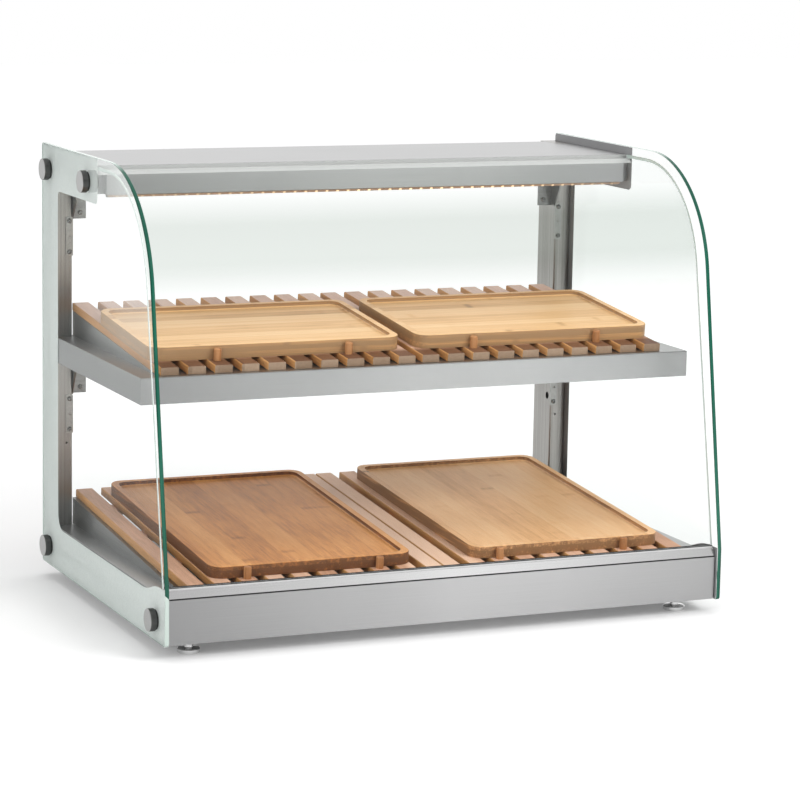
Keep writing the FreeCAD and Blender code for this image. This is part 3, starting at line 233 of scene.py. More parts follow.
add(tree, "ShaderNodeOutputMaterial", {"Surface": total.outputs[0]})
floor_mesh.materials.append(ground)
floor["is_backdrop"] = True
print("floor", 2 * FLOOR_HALF, "m wide")


# %% Lamps
def softbox(name, place, target, wide, high, power):
    """A rectangular lamp, aimed at a point."""
    lamp = bpy.data.lights.new(name, "AREA")
    lamp.shape, lamp.size, lamp.size_y, lamp.energy = "RECTANGLE", wide, high, power
    body = bpy.data.objects.new(name, lamp)
    body.visible_glossy = body.visible_transmission = False
    aim = (Vector(target) - Vector(place)).to_track_quat("-Z", "Y")
    body.matrix_world = Matrix.Translation(place) @ aim.to_matrix().to_4x4()
    scene.collection.objects.link(body)


softbox("overhead", (0.0, 0.2, 2.6), (0, 0.1, 0.3), wide=2.6, high=2.2, power=28)
softbox("left_side", (-2.8, -2.0, 1.2), (0, 0, 0.3), wide=1.8, high=1.6, power=38)
softbox("right_high", (1.6, -2.5, 2.1), (0, -0.1, 0.2), wide=1.8, high=1.4, power=68)

# %% [markdown]
# ## Brushed steel
# Sheet steel for such cases is brushed in one direction, which leaves fine lines and a soft, drawn-out
# shine. Noise that is squeezed across the lines and stretched along them gives the fine lines. It drives a
# slight change of tone, the roughness and a very shallow bump, and broad noise adds faint clouding. Posts,
# rails and brackets have broader streaks too. The long sheets carry a painted highlight that rises and falls
# from end to end, and painted shade on their tops and sides.

# %% Brushed steel
DARK_AT, PALE_AT = 0.3, 0.7
FINE, DRAWN, BROAD = 2600.0, 5.0, 0.1
ALONG_X, ALONG_Y, ALONG_Z = (DRAWN, FINE, FINE), (FINE, DRAWN, FINE), (FINE, FINE, DRAWN)
CLOUDY, EVEN, CAP_GRAIN, CHROME_GRAIN = (3.0,) * 3, (260.0,) * 3, (500.0, 700.0, 700.0), (60.0,) * 3
LINE_SHARE, CLOUD_SHARE, LINE_DEEP = 0.7, 0.3, 0.0004
SHEET_HALF, SHEET_TURNED = 0.45, 0.7
# Painted shade on the tops and sides of the long sheets.
TOP_PAINTED_SHADE, SIDE_PAINTED_SHADE = (0.8, 0.8, 0.8, 1), (0.48, 0.48, 0.48, 1)
# Painted highlight that rises and falls along the long sheets and along the sill.
SHEET_PAINTED_SHEEN = [(0.03, 0.62), (0.28, 0.82), (0.5, 1.0), (0.68, 0.97), (0.97, 0.74)]
SILL_PAINTED_SHEEN = [(0.03, 0.57), (0.28, 0.75), (0.5, 1.0), (0.68, 0.93), (0.97, 0.68)]
SHEET_TONES = (0.45, 0.45, 0.452), (0.55, 0.55, 0.552)


def new_finish(name):
    """A new material, its nodes and its main shader."""
    material = bpy.data.materials.new(name)
    material.use_nodes = True
    return material, material.node_tree, material.node_tree.nodes["Principled BSDF"]


def surface(tree, shader, colour, pattern, rough, height, relief, deep):
    """Gives the shader a colour, a roughness between two limits and a bump."""
    tree.links.new(colour, shader.inputs["Base Color"])
    tree.links.new(rescale(tree, pattern, 0.0, 1.0, *rough), shader.inputs["Roughness"])
    bump = add(tree, "ShaderNodeBump", {"Strength": relief, "Distance": deep, "Height": height})
    tree.links.new(bump.outputs[0], shader.inputs["Normal"])


def looks_along(tree, axis, limit):
    """Whether a face looks along an axis, in one way or the other."""
    turn = calculate(tree, "ABSOLUTE", axes_of(tree, "Normal")[axis])
    return calculate(tree, "GREATER_THAN", turn, limit)


def sheen_and_shade_painted(tree, colour, painted_sheen):
    """A colour with a painted highlight from end to end, and painted shade on tops and sides."""
    painted_tone = levels(tree, rescale(tree, axes_of(tree)[X], -SHEET_HALF, SHEET_HALF), painted_sheen)
    lying = calculate(tree, "GREATER_THAN", axes_of(tree, "Normal")[Z], SHEET_TURNED)
    painted_tone = blend(tree, lying, painted_tone, TOP_PAINTED_SHADE)
    painted_tone = blend(tree, looks_along(tree, X, SHEET_TURNED), painted_tone, SIDE_PAINTED_SHADE)
    return blend(tree, 1.0, colour, painted_tone, "MULTIPLY")


def brushed(name, dark, pale, stretch, rough=(0.26, 0.44), relief=0.08, painted_sheen=(), streak=0.0):
    """Metal with fine lines along one axis, or with an even grain."""
    material, tree, shader = new_finish(name)
    lines = noise(tree, stretch, detail=6.0, rough=0.65)
    cloud = noise(tree, CLOUDY, detail=2.0, rough=0.5)
    tone = weigh(tree, (cloud, CLOUD_SHARE), (lines, LINE_SHARE))
    if streak:
        broad = noise(tree, [value * BROAD for value in stretch], detail=3.0, rough=0.6)
        tone = calculate(tree, "MULTIPLY_ADD", calculate(tree, "SUBTRACT", broad, 0.5), streak, tone)
    colour = ramp(tree, tone, [(DARK_AT, dark), (PALE_AT, pale)])
    if painted_sheen:
        colour = sheen_and_shade_painted(tree, colour, painted_sheen)
    surface(tree, shader, colour, lines, rough, lines, relief, LINE_DEEP)
    shader.inputs["Metallic"].default_value = 1.0
    return material


sheet_steel = brushed("sheet_steel", *SHEET_TONES, ALONG_X, painted_sheen=SHEET_PAINTED_SHEEN)
hood_steel = brushed("hood_steel", *SHEET_TONES, ALONG_X, painted_sheen=SHEET_PAINTED_SHEEN)
post_steel = brushed("post_steel", (0.23, 0.22, 0.208), (0.50, 0.485, 0.465), ALONG_Z, streak=0.45)
rail_steel = brushed("rail_steel", (0.13, 0.128, 0.126), (0.25, 0.248, 0.244), ALONG_Y, streak=0.5)
sill_steel = brushed("sill_steel", (0.83, 0.83, 0.83), (0.96, 0.96, 0.96), ALONG_X,
                     (0.12, 0.22), 0.03, SILL_PAINTED_SHEEN)
plated_zinc = brushed("plated_zinc", (0.34, 0.34, 0.33), (0.50, 0.50, 0.485), EVEN, (0.3, 0.5), 0.05)
screw_zinc = brushed("screw_zinc", (0.16, 0.16, 0.155), (0.30, 0.30, 0.29), EVEN, (0.2, 0.35), 0.05)
bracket_steel = brushed("bracket_steel", (0.19, 0.19, 0.186), (0.32, 0.32, 0.315), ALONG_X, streak=0.6)
cap_steel = brushed("cap_steel", (0.34, 0.34, 0.337), (0.46, 0.46, 0.455), CAP_GRAIN, (0.28, 0.45), 0.06)
foot_chrome = brushed("foot_chrome", (0.66, 0.66, 0.66), (0.78, 0.78, 0.78), CHROME_GRAIN,
                      (0.06, 0.16), 0.01)
light_rail_metal = brushed("light_rail_metal", (0.24, 0.22, 0.2), (0.36, 0.33, 0.3), ALONG_X,
                           (0.35, 0.5), 0.04)
print("steel finishes ready")

# %% [markdown]
# ## Steel with a second tone
# A cap that holds a pane has a brushed face, and painted shade darkens every face of it that doesn't look
# along X. The canopy has a ledge for the top of the front pane, painted matt and pale there as painted
# light, because bare steel would mirror the grey front of the room as a dark line. Height and depth find the
# ledge.

# %% Steel with a second tone
CAP_FACE = 0.5
LEDGE_LEVEL, LEDGE_HALF, LEDGE_BACK = 0.6396, 0.0057, 0.0385


def recolour(tree, mask, colour):
    """Lays another colour over a finish wherever a mask says so."""
    socket = tree.nodes["Principled BSDF"].inputs["Base Color"]
    tree.links.new(blend(tree, mask, socket.links[0].from_socket, colour), socket)


tree = cap_steel.node_tree
# Painted shade on the walls of the caps.
recolour(tree, calculate(tree, "SUBTRACT", 1.0, looks_along(tree, X, CAP_FACE)), (0.11, 0.11, 0.108, 1))
tree = hood_steel.node_tree
axes = axes_of(tree)
# Painted light: the canopy ledge is made matt and pale instead of mirroring steel.
ledge = calculate(tree, "COMPARE", axes[Z], LEDGE_LEVEL, LEDGE_HALF)
ledge = calculate(tree, "MULTIPLY", ledge, calculate(tree, "LESS_THAN", axes[Y], LEDGE_BACK))
recolour(tree, ledge, (0.42, 0.42, 0.415, 1))
bare_steel = calculate(tree, "SUBTRACT", 1.0, ledge)
tree.links.new(bare_steel, tree.nodes["Principled BSDF"].inputs["Metallic"])
print("second tones ready")

# %% [markdown]
# ## Bamboo
# A bamboo board is glued up from strips about 22 mm wide. Each strip has its own tone, fine fibres and
# broader veins run along it, and about every 24 cm the stalk's joint can leave a short, soft mark across
# the strip. The strip's number comes from rounding down the place across it, and white noise turns that
# number into a tone. On the upright edges the same sum is made with the height and shows the plies, and
# painted shade makes these edges darker.

# %% Bamboo
STRIP, PLY, SEAM_FROM = 0.022, 0.0062, 0.485
JOINT_PITCH, JOINT_SHIFT, JOINT_CORE, JOINT_END, JOINT_RARE = 0.24, 3.7, 0.006, 0.034, 3.0
FIBRE_ALONG, FIBRE_ACROSS, VEIN = 7.0, 420.0, 0.4
BOARD_CLOUDY, WOOD_TURNED, WOOD_DEEP = (9.0,) * 3, 0.6, 0.0005
UPPER_TILT, LOWER_TILT = 5.42, 4.64
HONEY = [(0.05, (0.36, 0.21, 0.10)), (0.25, (0.58, 0.32, 0.13)),
         (0.5, (0.84, 0.52, 0.245)), (0.8, (0.93, 0.65, 0.37))]
TOAST = [(0.05, (0.14, 0.055, 0.02)), (0.25, (0.42, 0.155, 0.04)),
         (0.5, (0.68, 0.29, 0.085)), (0.8, (0.84, 0.43, 0.165))]
AMBER = [(0.05, (0.26, 0.13, 0.055)), (0.25, (0.70, 0.36, 0.15)),
         (0.5, (0.87, 0.50, 0.235)), (0.8, (0.95, 0.61, 0.33))]


def chance(tree, number, other=0.0):
    """A random value that is always the same for the same numbers."""
    pair = add(tree, "ShaderNodeCombineXYZ", {0: number, 1: other}).outputs[0]
    return add(tree, "ShaderNodeTexWhiteNoise", {"Vector": pair}, noise_dimensions="2D").outputs["Value"]


def off_middle(tree, value):
    """How far a value lies from the middle between two whole numbers."""
    return calculate(tree, "ABSOLUTE", calculate(tree, "SUBTRACT", calculate(tree, "FRACT", value), 0.5))


def bamboo(name, run_axis, tilt, tones):
    """Bamboo with strips along an axis, for boards that lean by a tilt in degrees."""
    material, tree, shader = new_finish(name)
    axes = axes_of(tree)
    lying = looks_along(tree, Z, WOOD_TURNED)
    rise = calculate(tree, "MULTIPLY_ADD", axes[Y], -math.tan(math.radians(tilt)), axes[Z])
    across = calculate(tree, "DIVIDE", axes[X if run_axis == Y else Y], STRIP)
    plies = calculate(tree, "DIVIDE", rise, PLY)
    wide = add(tree, "ShaderNodeMix", {0: lying, 2: plies, 3: across}).outputs[0]
    strip = calculate(tree, "FLOOR", wide)
    strip_tone = chance(tree, strip)
    along = calculate(tree, "MULTIPLY_ADD", strip_tone, JOINT_SHIFT, axes[run_axis])
    length = calculate(tree, "DIVIDE", along, JOINT_PITCH)
    near = rescale(tree, off_middle(tree, length), JOINT_CORE, JOINT_END, 1.0, 0.0)
    strength = calculate(tree, "POWER", chance(tree, strip, calculate(tree, "FLOOR", length)), JOINT_RARE)
    mark = calculate(tree, "MULTIPLY", near, strength)
    seam = calculate(tree, "GREATER_THAN", off_middle(tree, wide), SEAM_FROM)
    stretch = [FIBRE_ACROSS] * 3
    stretch[run_axis] = FIBRE_ALONG
    fibre = noise(tree, stretch, detail=5.0, rough=0.7)
    cloud = noise(tree, BOARD_CLOUDY, detail=3.0, rough=0.5)
    vein = noise(tree, [value * VEIN for value in stretch], detail=4.0, rough=0.7)
    vein = calculate(tree, "SUBTRACT", vein, 0.5)
    # Painted shade: the upright edges are darkened.
    upright = calculate(tree, "SUBTRACT", 1.0, lying)
    tone = weigh(tree, (fibre, 0.47), (strip_tone, 0.28), (cloud, 0.25), (vein, 0.55),
                 (mark, -0.26), (seam, -0.1), (upright, -0.45))
    surface(tree, shader, ramp(tree, tone, tones), fibre, (0.38, 0.58), tone, 0.12, WOOD_DEEP)
    return material


upper_bamboo = bamboo("upper_bamboo", X, UPPER_TILT, HONEY)
lower_bamboo = bamboo("lower_bamboo", Y, LOWER_TILT, TOAST)
pale_bamboo = bamboo("pale_bamboo", Y, LOWER_TILT, AMBER)
print("bamboo strips", STRIP, "m wide")

# %% [markdown]
# ## Rack wood
# The slats, battens and pegs are plain sticks of a reddish wood. The grain runs along each stick, and no
# two sticks have the same tone, so the slat's number along the rack feeds white noise here as well. Cut
# ends are greyer than the tops, and flanks are more orange. Light and shade are painted on the slats too:
# a painted highlight at the back of the upper tier, painted light where they lie bare between the lower
# boards, and painted shadow on the front tips of the upper slats.

# %% Rack wood
SLAT_PITCH, BATTEN_PITCH, PEG_PITCH, STICK_DRAW = 0.0386, 0.05, 0.02, 3.0
GRAIN_ALONG, GRAIN_ACROSS, STICK_CLOUDY = 6.0, 260.0, (14.0,) * 3
TIERS_PART = 0.3
# Painted highlight at the back of the upper tier.
BACK_HIGHLIGHT_FROM, BACK_HIGHLIGHT_FULL = 0.385, 0.425
# Painted shadow on the front tips of the upper slats.
TIP_FROM, TIP_FULL = -0.115, -0.135
# Painted light on the bare middle of the lower tier.
BARE_FROM, BARE_FULL = 0.06, 0.05
REDDISH = [(0.2, (0.38, 0.19, 0.11)), (0.5, (0.65, 0.37, 0.24)), (0.85, (0.82, 0.56, 0.42))]
END_GRAIN = [(0.2, (0.19, 0.12, 0.07)), (0.5, (0.31, 0.205, 0.135)), (0.85, (0.43, 0.30, 0.21))]
TIP_PAINTED_SHADOW = [(0.2, (0.08, 0.03, 0.011)), (0.5, (0.14, 0.054, 0.021)), (0.85, (0.20, 0.09, 0.04))]
BARE_PAINTED_LIGHT = [(0.2, (0.70, 0.42, 0.27)), (0.5, (0.86, 0.56, 0.39)), (0.85, (0.93, 0.68, 0.53))]
FLANK = [(0.2, (0.34, 0.15, 0.05)), (0.5, (0.58, 0.29, 0.10)), (0.85, (0.74, 0.43, 0.19))]
BROWN = [(0.2, (0.26, 0.10, 0.03)), (0.5, (0.42, 0.18, 0.065)), (0.85, (0.56, 0.28, 0.12))]
BACK_PAINTED_HIGHLIGHT = [(0.2, (0.50, 0.32, 0.25)), (0.5, (0.72, 0.51, 0.42)), (0.85, (0.86, 0.68, 0.58))]


def at_back(tree, axes):
    """The back of the upper tier, which lies highest."""
    return rescale(tree, axes[Z], BACK_HIGHLIGHT_FROM, BACK_HIGHLIGHT_FULL)


def at_tip(tree, axes):
    """The front tips of the upper tier."""
    fore = rescale(tree, axes[Y], TIP_FROM, TIP_FULL)
    return calculate(tree, "MULTIPLY", fore, calculate(tree, "GREATER_THAN", axes[Z], TIERS_PART))


def between_boards(tree, axes):
    """The bare middle of the lower tier."""
    middle = rescale(tree, calculate(tree, "ABSOLUTE", axes[X]), BARE_FROM, BARE_FULL)
    return calculate(tree, "MULTIPLY", middle, calculate(tree, "LESS_THAN", axes[Z], TIERS_PART))


def stick_wood(name, run_axis, step_axis, step, tones, turned=(), painted_light=()):
    """Sticks that run along one axis and follow each other along another."""
    material, tree, shader = new_finish(name)
    axes = axes_of(tree)
    stick = calculate(tree, "FLOOR", calculate(tree, "DIVIDE", axes[step_axis], step))
    stretch = [GRAIN_ACROSS] * 3
    stretch[run_axis] = GRAIN_ALONG
    grain = noise(tree, stretch, detail=6.0, rough=0.7)
    cloud = noise(tree, STICK_CLOUDY, detail=2.0, rough=0.5)
    tone = weigh(tree, (grain, 0.6), (chance(tree, stick, STICK_DRAW), 0.35), (cloud, 0.15))
    colour = ramp(tree, tone, tones)
    for area, other in painted_light:
        colour = blend(tree, area(tree, axes), colour, ramp(tree, tone, other))
    for axis, other in turned:
        colour = blend(tree, looks_along(tree, axis, WOOD_TURNED), colour, ramp(tree, tone, other))
    surface(tree, shader, colour, grain, (0.45, 0.65), grain, 0.15, WOOD_DEEP)
    return material


# Painted highlight at the back, painted shadow on the upper tips and painted light between the lower boards.
slat_wood = stick_wood("slat_wood", Y, X, SLAT_PITCH, REDDISH, ((Y, END_GRAIN), (X, FLANK)),
                       ((at_back, BACK_PAINTED_HIGHLIGHT), (at_tip, TIP_PAINTED_SHADOW), (between_boards, BARE_PAINTED_LIGHT)))
batten_wood = stick_wood("batten_wood", X, Y, BATTEN_PITCH, REDDISH, ((X, END_GRAIN), (Y, FLANK)))
peg_wood = stick_wood("peg_wood", Z, X, PEG_PITCH, BROWN)
print("stick woods ready")

# %% [markdown]
# ## Glass
# The panes are clear float glass, 5 and 6 mm thick. The side panes are seen at a flat angle, and a
# refracting shader shifts what lies behind them. The front pane only tints it. A mirror is mixed in by the
# angle, and on the left pane it grows towards the top front, which shows the bright room. Lamps have to
# reach the goods inside, so for shadow rays and for light that bounces about, the glass is swapped for a
# see-through shader. The bent part of the front pane carries a band of painted shade, a little darker and
# a touch greener than the rest.

# %% Glass
CLEAR, BEND_PAINTED_SHADE = (0.99, 0.996, 0.993), (0.862, 0.885, 0.867)
MIRROR_TINT = (0.96, 1.0, 0.98, 1)
MIRROR_STEEP, MIRROR_CURVE, MIRROR_BACK, MIRROR_FRONT = 0.02, 2.0, 0.12, -0.1
BENDING = {"Color": (*CLEAR, 1), "Roughness": 0.0, "IOR": 1.5}
LEFT_MIRROR, RIGHT_MIRROR = [(0.36, 0.03), (0.47, 0.4), (0.62, 0.9)], [(0.0, 0.03), (1.0, 0.03)]
FRONT_MIRROR = [(0.3, 0.05), (0.6, 0.02)]
# Painted shade in a band over the bent part of the front pane.
FRONT_BANDS = [(0.475, CLEAR), (0.53, BEND_PAINTED_SHADE), (0.58, BEND_PAINTED_SHADE), (0.62, CLEAR)]


def clear_glass(name, kind, sockets, mirror_stops, bands=()):
    """Glass that mirrors more at flat angles, by stops over the height, and may be tinted in bands."""
    material, tree, shader = new_finish(name)
    shader.inputs["Base Color"].default_value = MIRROR_TINT
    shader.inputs["Metallic"].default_value = 1.0
    shader.inputs["Roughness"].default_value = 0.0
    through = add(tree, kind, sockets)
    axes = axes_of(tree)
    if bands:
        tree.links.new(ramp(tree, axes[Z], bands), through.inputs["Color"])
    facing = add(tree, "ShaderNodeLayerWeight", {"Blend": 0.5}).outputs["Facing"]
    fore = rescale(tree, axes[Y], MIRROR_BACK, MIRROR_FRONT)
    gain = calculate(tree, "MULTIPLY", levels(tree, axes[Z], mirror_stops), fore)
    flat = calculate(tree, "POWER", facing, MIRROR_CURVE)
    mirror = calculate(tree, "MULTIPLY_ADD", flat, gain, MIRROR_STEEP)
    pane = add(tree, "ShaderNodeMixShader", {0: mirror, 1: through.outputs[0], 2: shader.outputs[0]})
    ray = add(tree, "ShaderNodeLightPath").outputs
    passing = calculate(tree, "MAXIMUM", ray["Is Shadow Ray"], ray["Is Diffuse Ray"])
    free = add(tree, "ShaderNodeBsdfTransparent", {"Color": (*CLEAR, 1)})
    mixed = add(tree, "ShaderNodeMixShader", {0: passing, 1: pane.outputs[0], 2: free.outputs[0]})
    tree.links.new(mixed.outputs[0], tree.nodes["Material Output"].inputs["Surface"])
    return material


left_clear = clear_glass("left_clear", "ShaderNodeBsdfRefraction", BENDING, LEFT_MIRROR)
right_clear = clear_glass("right_clear", "ShaderNodeBsdfRefraction", BENDING, RIGHT_MIRROR)
front_clear = clear_glass("front_clear", "ShaderNodeBsdfTransparent", {}, FRONT_MIRROR, FRONT_BANDS)
print("glass ready")

# %% [markdown]
# ## Cut edges
# Light that runs along a side pane comes out at its cut edge, which looks deep green. That shows where the
# edge looks forward and stands free. Further back, and on the left pane below the sill, it stays pale. The
# front pane's edges are pale as well.

# %% Cut edges
EDGE_PALE, EDGE_STREAK = (0.52, 0.60, 0.56, 1), (300.0, 5.0, 5.0)
DEEP_AT, BRIGHT_AT, EDGE_ROUGH, EDGE_SHINE = 0.35, 0.7, (0.05, 0.2), 0.25
EDGE_TURNED, EDGE_GREEN_FROM, EDGE_GREEN_TO = 0.3, -0.335, 0.1


def cut_edge(name, deep, bright):
    """An edge that has its own tones where it looks forward and stands free."""
    material, tree, shader = new_finish(name)
    axes = axes_of(tree)
    streak = noise(tree, EDGE_STREAK, detail=3.0, rough=0.5)
    green = ramp(tree, streak, [(DEEP_AT, deep), (BRIGHT_AT, bright)])
    forward = calculate(tree, "MULTIPLY", axes_of(tree, "Normal")[Y], -1.0)
    share = rescale(tree, forward, 0.0, EDGE_TURNED)
    bare = calculate(tree, "GREATER_THAN", calculate(tree, "ADD", axes[Z], axes[X]), EDGE_GREEN_FROM)
    share = calculate(tree, "MULTIPLY", share, bare)
    share = calculate(tree, "MULTIPLY", share, calculate(tree, "LESS_THAN", axes[Y], EDGE_GREEN_TO))
    tree.links.new(blend(tree, share, EDGE_PALE, green), shader.inputs["Base Color"])
    tree.links.new(rescale(tree, streak, 0.0, 1.0, *EDGE_ROUGH), shader.inputs["Roughness"])
    shader.inputs["Specular IOR Level"].default_value = EDGE_SHINE
    return material


pane_edge = cut_edge("pane_edge", (0.003, 0.055, 0.034), (0.02, 0.13, 0.085))
front_edge = cut_edge("front_edge", (0.74, 0.78, 0.78), (0.86, 0.89, 0.89))
print("cut edges ready")

# %% [markdown]
# ## Panes with ground edges
# A glazier takes the sharp corner off every cut edge, and that narrow facet catches the light as a bright
# line. Each pane is a copy of its node, with its triangles merged into whole faces, so that a bevel can run
# along all sharp edges at once. Faces that don't look along the pane's thickness get the edge finish.

# %% Panes with ground edges
ARRIS, SAME_POINT, SIDEWAYS, FORWARD = 0.0007, 1e-6, 0.9, 0.1
FLAT, SMOOTH, SHARP = math.radians(0.5), math.radians(15), math.radians(60)


def ground_pane(name, finish, edge_finish, is_face):
    """Replaces a pane's node by a copy with its sharp edges taken off."""
    shape = bmesh.new()
    shape.from_mesh(nodes[name].data)
    bmesh.ops.remove_doubles(shape, verts=shape.verts, dist=SAME_POINT)
    bmesh.ops.dissolve_limit(shape, angle_limit=FLAT, verts=shape.verts, edges=shape.edges)
    sharp = [edge for edge in shape.edges if edge.is_manifold and edge.calc_face_angle() > SHARP]
    bmesh.ops.bevel(shape, geom=sharp, offset=ARRIS, segments=1, profile=0.5, affect="EDGES", material=-1)
    for face in shape.faces:
        face.material_index = 0 if is_face(face.normal) else 1
        face.smooth = True
    for edge in shape.edges:
        edge.smooth = edge.calc_face_angle(math.pi) < SMOOTH
    mesh = bpy.data.meshes.new(name + "_ground")
    shape.to_mesh(mesh)
    shape.free()
    mesh.materials.append(finish)
    mesh.materials.append(edge_finish)
    pane = bpy.data.objects.new(name + "_ground", mesh)
    scene.collection.objects.link(pane)
    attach(pane, "case")
    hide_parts(name)


for side, finish in (("left", left_clear), ("right", right_clear)):
    ground_pane(f"side_glass_{side}", finish, pane_edge, lambda normal: abs(normal.x) > SIDEWAYS)
ground_pane("front_glass", front_clear, front_edge, lambda normal: abs(normal.x) < FORWARD)
print("ground panes ready")

# %% [markdown]
# ## Pan-head screws
# The screws on the rear posts have a domed head with a cross cut into it. A grid of five by five cells
# holds the cross: its cells are pushed in and drawn together. A ring round the grid is bridged to it, and
# pulling that ring out and down makes the dome, the head's rim and the shank. A screw is made this way for
# every place where the construction model has one, each turned a little further than the last.

# %% Pan-head screws
HEAD_RADIUS, HEAD_HIGH, SHANK_RADIUS = 0.0037, 0.0022, 0.002
CROSS_HALF, CROSS_DEEP, CROSS_CELLS, CROSS_DRAWN = 0.0019, 0.0011, 5, 0.6
RING_SIDES, RING_RADIUS, RING_DROP = 20, 0.72 * HEAD_RADIUS, 0.1 * HEAD_HIGH
DOME_STEPS = ((1.25, 0.2), (1 / 0.9, 0.3), (1.0, 0.4))
SCREWS_APART, SCREW_TURN = 0.008, 0.7


def pull(shape, edges, scale, drop):
    """Draws an open rim out by a scale and down by a drop, and gives the new rim."""
    made = bmesh.ops.extrude_edge_only(shape, edges=edges)["geom"]
    points = [item for item in made if isinstance(item, bmesh.types.BMVert)]
    bmesh.ops.scale(shape, verts=points, vec=(scale, scale, 1))
    bmesh.ops.translate(shape, verts=points, vec=(0, 0, -drop))
    return [item for item in made if isinstance(item, bmesh.types.BMEdge) and item.is_boundary]


def cross_screw(length):
    """A screw with its head to the front and a shank of some length behind it."""
    shape = bmesh.new()
    bmesh.ops.create_grid(shape, x_segments=CROSS_CELLS, y_segments=CROSS_CELLS, size=CROSS_HALF)
    cell = CROSS_HALF / CROSS_CELLS
    arms = [face for face in shape.faces if min(map(abs, face.calc_center_median()[:2])) < cell]
    sunk = bmesh.ops.extrude_face_region(shape, geom=arms)["geom"]
    points = [item for item in sunk if isinstance(item, bmesh.types.BMVert)]
    bmesh.ops.delete(shape, geom=arms, context="FACES_ONLY")
    bmesh.ops.scale(shape, verts=points, vec=(CROSS_DRAWN, CROSS_DRAWN, 1))
    bmesh.ops.translate(shape, verts=points, vec=(0, 0, -CROSS_DEEP))
    rim = [edge for edge in shape.edges if edge.is_boundary]
    ring = bmesh.ops.create_circle(shape, segments=RING_SIDES, radius=RING_RADIUS)["verts"]
    bmesh.ops.translate(shape, verts=ring, vec=(0, 0, -RING_DROP))
    loop = list({edge for point in ring for edge in point.link_edges})
    bmesh.ops.bridge_loops(shape, edges=rim + loop)
    for scale, share in DOME_STEPS:
        loop = pull(shape, loop, scale, share * HEAD_HIGH)
    loop = pull(shape, loop, SHANK_RADIUS / HEAD_RADIUS, 0)
    loop = pull(shape, loop, 1.0, length)
    bmesh.ops.edgeloop_fill(shape, edges=loop)
    bmesh.ops.recalc_face_normals(shape, faces=shape.faces)
    bmesh.ops.rotate(shape, verts=shape.verts, matrix=Matrix.Rotation(math.radians(90), 3, "X"))
    return shape


def screw_boxes(mesh):
    """The lowest and the highest corner of each screw in a mesh that holds them all."""
    boxes = []
    for point in (vertex.co for vertex in mesh.vertices):
        near = [box for box in boxes
                if math.hypot(point.x - box[0].x, point.z - box[0].z) < SCREWS_APART]
        box = near[0] if near else [point.copy(), point.copy(), point.copy()]
        if not near:
            boxes.append(box)
        box[1] = Vector(map(min, box[1], point))
        box[2] = Vector(map(max, box[2], point))
    return [(low, high) for _, low, high in boxes]


places = screw_boxes(nodes["pan_screws"].data)
screws = bpy.data.meshes.new("cross_screws")
all_screws = bmesh.new()
for number, (low, high) in enumerate(places):
    single = cross_screw(high.y - low.y - HEAD_HIGH)
    bmesh.ops.rotate(single, verts=single.verts, matrix=Matrix.Rotation(SCREW_TURN * number, 3, "Y"))
    middle = (low + high) / 2
    bmesh.ops.translate(single, verts=single.verts, vec=(middle.x, low.y, middle.z))
    single.to_mesh(screws)
    single.free()
    all_screws.from_mesh(screws)
all_screws.to_mesh(screws)
all_screws.free()
screws.materials.append(screw_zinc)
screw_set = bpy.data.objects.new("cross_screws", screws)
scene.collection.objects.link(screw_set)
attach(screw_set, "case")
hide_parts("pan_screws")
print("screws", len(places), "faces", len(screws.polygons))

# %% [markdown]
# ## Print, rubber, plastics and light
# The border on the side panes is a baked enamel print, pale outside; painted shade darkens it from inside.
# The seal at the sill has a grey foot and a black lip. The rest are small moulded pieces and the warm light
# strip, which glows less towards its ends. Fine noise in tone, roughness and bump keeps each from looking
# flat.

# %% Print, rubber, plastics and light
SPECKLE_DEEP = 0.0003
SEAL_FOOT, SEAL_FOOT_HALF = 0.098, 0.0011
STRIP_HALF, WARM = 0.42, (1.0, 0.74, 0.42, 1)
FED_IN_THE_MIDDLE = [(0.05, 0.0), (0.3, 0.35), (0.5, 1.0), (0.72, 1.0), (0.95, 0.05)]
RUBBER = (0.008, 0.008, 0.008), (0.02, 0.02, 0.02), 900.0, (0.6, 0.8)


def moulded(name, dark, pale, grain, rough, relief=0.05):
    """A plain surface with fine speckle."""
    material, tree, shader = new_finish(name)
    speckle = noise(tree, (grain, grain, grain), detail=3.0, rough=0.6)
    colour = ramp(tree, speckle, [(DARK_AT, dark), (PALE_AT, pale)])
    surface(tree, shader, colour, speckle, rough, speckle, relief, SPECKLE_DEEP)
    return material


border_print = moulded("border_print", (0.66, 0.70, 0.68), (0.72, 0.76, 0.74), 240.0, (0.35, 0.5), 0.02)
tree = border_print.node_tree
# Painted shade on the inner face of the print.
outward = calculate(tree, "MULTIPLY", axes_of(tree)[X], axes_of(tree, "Normal")[X])
recolour(tree, calculate(tree, "LESS_THAN", outward, 0.0), (0.24, 0.24, 0.245, 1))
seal_rubber = moulded("seal_rubber", *RUBBER)
lip_rubber = moulded("lip_rubber", *RUBBER)
tree = lip_rubber.node_tree
recolour(tree, calculate(tree, "COMPARE", axes_of(tree)[Z], SEAL_FOOT, SEAL_FOOT_HALF), (0.6, 0.6, 0.6, 1))
black_moulding = moulded("black_moulding", (0.010, 0.010, 0.011), (0.022, 0.022, 0.023), 1400.0,
                         (0.4, 0.55), 0.15)
rocker_moulding = moulded("rocker_moulding", (0.012, 0.012, 0.013), (0.02, 0.02, 0.021), 700.0, (0.2, 0.3))
driver_moulding = moulded("driver_moulding", (0.68, 0.68, 0.66), (0.76, 0.76, 0.74), 800.0,
                          (0.45, 0.6), 0.1)
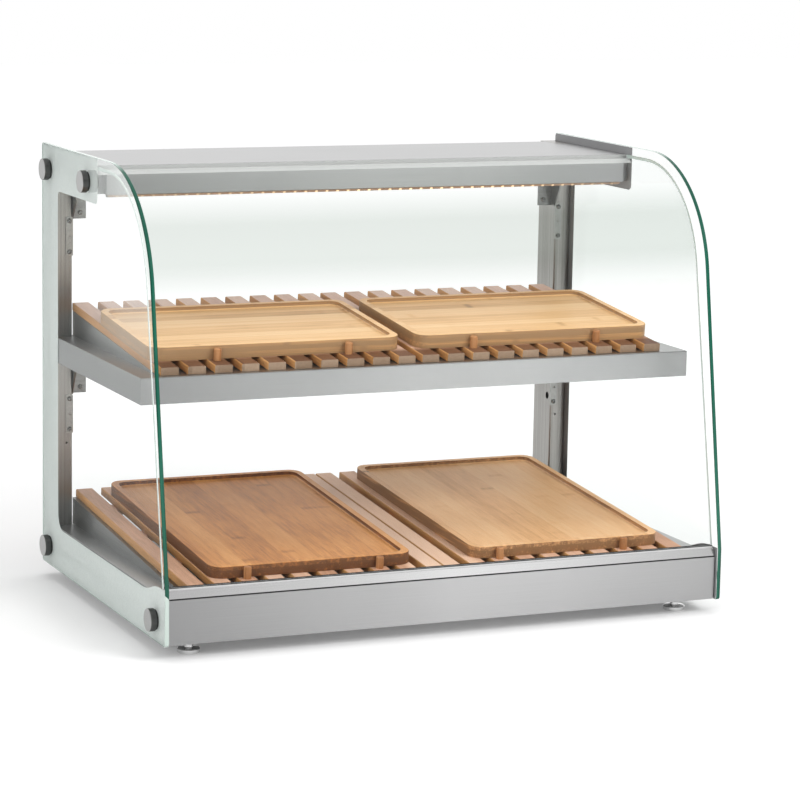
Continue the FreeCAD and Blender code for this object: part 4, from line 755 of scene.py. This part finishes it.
lead_jacket = moulded("lead_jacket", (0.012, 0.012, 0.012), (0.03, 0.03, 0.03), 500.0, (0.5, 0.65))
strip_board = moulded("strip_board", (0.34, 0.22, 0.15), (0.44, 0.3, 0.21), 600.0, (0.4, 0.55))
chip_light = moulded("chip_light", (0.55, 0.42, 0.28), (0.65, 0.52, 0.36), 900.0, (0.3, 0.4))
tree = chip_light.node_tree
shader = tree.nodes["Principled BSDF"]
chip_glow = levels(tree, rescale(tree, axes_of(tree)[X], -STRIP_HALF, STRIP_HALF), FED_IN_THE_MIDDLE)
tree.links.new(chip_glow, shader.inputs["Emission Strength"])
shader.inputs["Emission Color"].default_value = WARM
print("small finishes ready")

# %% [markdown]
# ## Giving every node its finish
# The record sorts the nodes into material slots, one for each finish of the real case, so a table from
# slot to finish is enough. A few nodes want another finish than the rest of their slot, and a second table
# finds them by a part of their name.

# %% Assign the finishes
BY_SLOT = {
    "clear_glass": right_clear, "border_print": border_print, "cap_metal": cap_steel,
    "black_rubber": seal_rubber, "foot_chrome": foot_chrome, "zinc_hardware": plated_zinc,
    "post_steel": post_steel, "brushed_sheet": sheet_steel, "bright_trim": sill_steel,
    "bamboo_upper": upper_bamboo, "bamboo_lower": lower_bamboo, "slat_wood": slat_wood,
    "peg_wood": peg_wood, "light_rail": light_rail_metal, "light_board": strip_board,
    "light_chip": chip_light, "driver_case": driver_moulding, "wire_jacket": lead_jacket,
    "black_plastic": black_moulding, "rocker_plastic": rocker_moulding}
BY_NAME = {
    "sill_seals": lip_rubber, "canopy_cover": hood_steel, "board_lower_right": pale_bamboo,
    "_battens": batten_wood, "_bracket": bracket_steel, "_rail": rail_steel}
slot_of = {piece["node"]: piece["material_slot"] for piece in frame["record"]["subparts"]}
for name, node in nodes.items():
    special = [finish for part, finish in BY_NAME.items() if part in name]
    node.data.materials.clear()
    node.data.materials.append(special[0] if special else BY_SLOT[slot_of[name]])
print("dressed", len(nodes), "nodes")

# %% Sizes
low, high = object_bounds()
